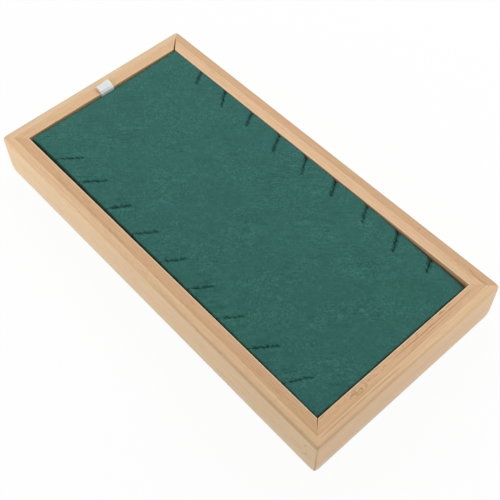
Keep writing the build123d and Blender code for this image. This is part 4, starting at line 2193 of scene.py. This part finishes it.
@dataclass
class RibbonTab:
    """The pull tab: one ribbon folded in two, its tail under the insert, its fold on the rail."""

    thickness: float = 0.35 * MM
    tip_draw: float = 1.3 * MM
    tip_lift: float = 1.5 * MM
    # How far the upper layer's left edge stands up, and how far the fold has turned and slipped
    # to the right, over this way out along the rail.
    loose_edge: float = 0.7 * MM
    skew: float = 1.5 * MM
    slip: float = 0.5 * MM
    slip_run: float = 4 * MM
    # Heights over the lower layer's underside between which a point counts as the upper layer,
    # and as out of the gap.
    upper_span: Span = (0.5 * MM, 1.5 * MM)
    over_span: Span = (-0.6 * MM, -0.1 * MM)
    # Where the ribbon would bend as the loop folds up: past the joint's pin, over so short a way
    # that what rises in the gap would keep off the rail.
    bend_shift: Triple = (0.0, 0.1 * MM, 0.2 * MM)
    bend_reach: float = 0.7 * MM
    columns: int = 13
    spacing: float = 0.25 * MM
    rounding: int = 14

    def __post_init__(self) -> None:
        """Read where the ribbon rises, rests and ends from the frame."""
        self.root_low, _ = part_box("tab_root")
        self.loop_low, self.loop_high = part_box("tab_loop")
        self.width = self.loop_high[0] - self.loop_low[0]
        joint = next(joint for joint in frame["joints"] if joint["name"] == "pull_tab")
        self.hinge = np.array(joint["pos_m"])

    def line(self) -> Array:
        """Middle line of the ribbon in the YZ plane, from one end of the tail to the other.

        The corners of the route are rounded by running a short mean along evenly spaced
        points of it.

        Returns:
            Y and Z of each point.
        """
        half = self.thickness / 2
        up, start = self.hinge[1], self.root_low[1]
        low = self.root_low[2] + half
        high = low + 1.1 * self.thickness
        rest = self.loop_low[2] + half
        tip, lifted = self.loop_high[1] - self.tip_draw, rest + self.tip_lift
        # Under the insert and up the gap, out over the rail and round the fold, and back.
        tail = [(start, low), (up + 1.2 * half, low), (up + 1.2 * half, rest - 0.1 * MM)]
        loop = [
            (up + 1.2 * MM, rest),
            (tip - 0.6 * MM, rest),
            (tip, rest + 0.45 * self.tip_lift),
            (tip - 0.8 * MM, lifted),
            (up + 5.0 * MM, lifted + 0.1 * MM),
            (up + 1.6 * MM, rest + 1.05 * MM),
        ]
        back = [
            (up - 1.2 * half, rest - 0.3 * MM),
            (up - 1.2 * half, high),
            (start + 0.4 * MM, high),
        ]
        corners = np.array(tail + loop + back)
        steps = np.linalg.norm(np.diff(corners, axis=0), axis=1)
        runs = np.concatenate([[0.0], np.cumsum(steps)])
        even = np.arange(0, runs[-1], self.spacing / 2)
        points = np.stack([np.interp(even, runs, corners[:, axis]) for axis in (0, 1)], 1)
        for _ in range(self.rounding):
            points[1:-1] = (points[:-2] + 2 * points[1:-1] + points[2:]) / 4
        return points[::2]

    def surface(self, line: Array) -> Array:
        """The ribbon's surface: the line carried across, loosened where it lies on the rail.

        The loose edge rises by the square of the distance from the right edge.

        Args:
            line: The middle line.

        Returns:
            Points, each row a line across the ribbon.
        """
        share = np.linspace(0, 1, self.columns)
        y, z = (np.repeat(line[:, [axis]], self.columns, 1) for axis in (0, 1))
        out = smooth_rise(y - self.hinge[1], 0, self.slip_run)
        upper = smooth_rise(z - self.loop_low[2], *self.upper_span)
        over = smooth_rise(z - self.loop_low[2], *self.over_span)
        x = self.loop_low[0] + share * self.width + self.slip * out * over
        z = z + self.loose_edge * upper * (1 - share) ** 2 * (0.35 + 0.65 * (1 - out))
        y = y + self.skew * out * over * (share - 0.5)
        return np.stack([x, y, z], -1)

    def build(self) -> list[Piece]:
        """Make the ribbon's mesh and its map, give it its thickness and dress it.

        Returns:
            The ribbon.
        """
        line = self.line()
        run = np.concatenate([[0.0], np.cumsum(np.linalg.norm(np.diff(line, axis=0), axis=1))])
        points = self.surface(line)
        ribbon = make_mesh("ribbon_tab", points, [grid_faces(*points.shape[:2])])
        mesh = ribbon.data
        corners = np.empty(len(mesh.loops), int)
        mesh.loops.foreach_get("vertex_index", corners)
        across = np.tile(np.linspace(0, self.width, self.columns), len(line))
        weave = np.stack([np.repeat(run, self.columns), across], 1)
        layer = mesh.uv_layers.new(name=WEAVE_MAP)
        layer.data.foreach_set("uv", weave[corners].astype(np.float32).ravel())
        solid = ribbon.modifiers.new("thickness", "SOLIDIFY")
        solid.thickness = self.thickness
        solid.offset = 0.0
        settle_modifiers(ribbon)
        finish = WovenRibbon("woven polyester ribbon, white", 0.45, width=self.width)
        ribbon.data.materials.append(finish.material())
        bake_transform(ribbon)
        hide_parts("tab_root", "tab_loop")
        return [ribbon]


def main() -> None:
    """Build the studio and the tray."""
    logging.basicConfig(level=logging.INFO, format="%(name)s: %(message)s")
    for part in (Studio(), BambooFrame(), PaddedInsert(), RibbonTab()):
        for piece in part.build():
            finish = piece.data.materials[0].name
            log.info("%s: %d faces, %s", piece.name, len(piece.data.polygons), finish)


if __name__ == "__main__":
    main()
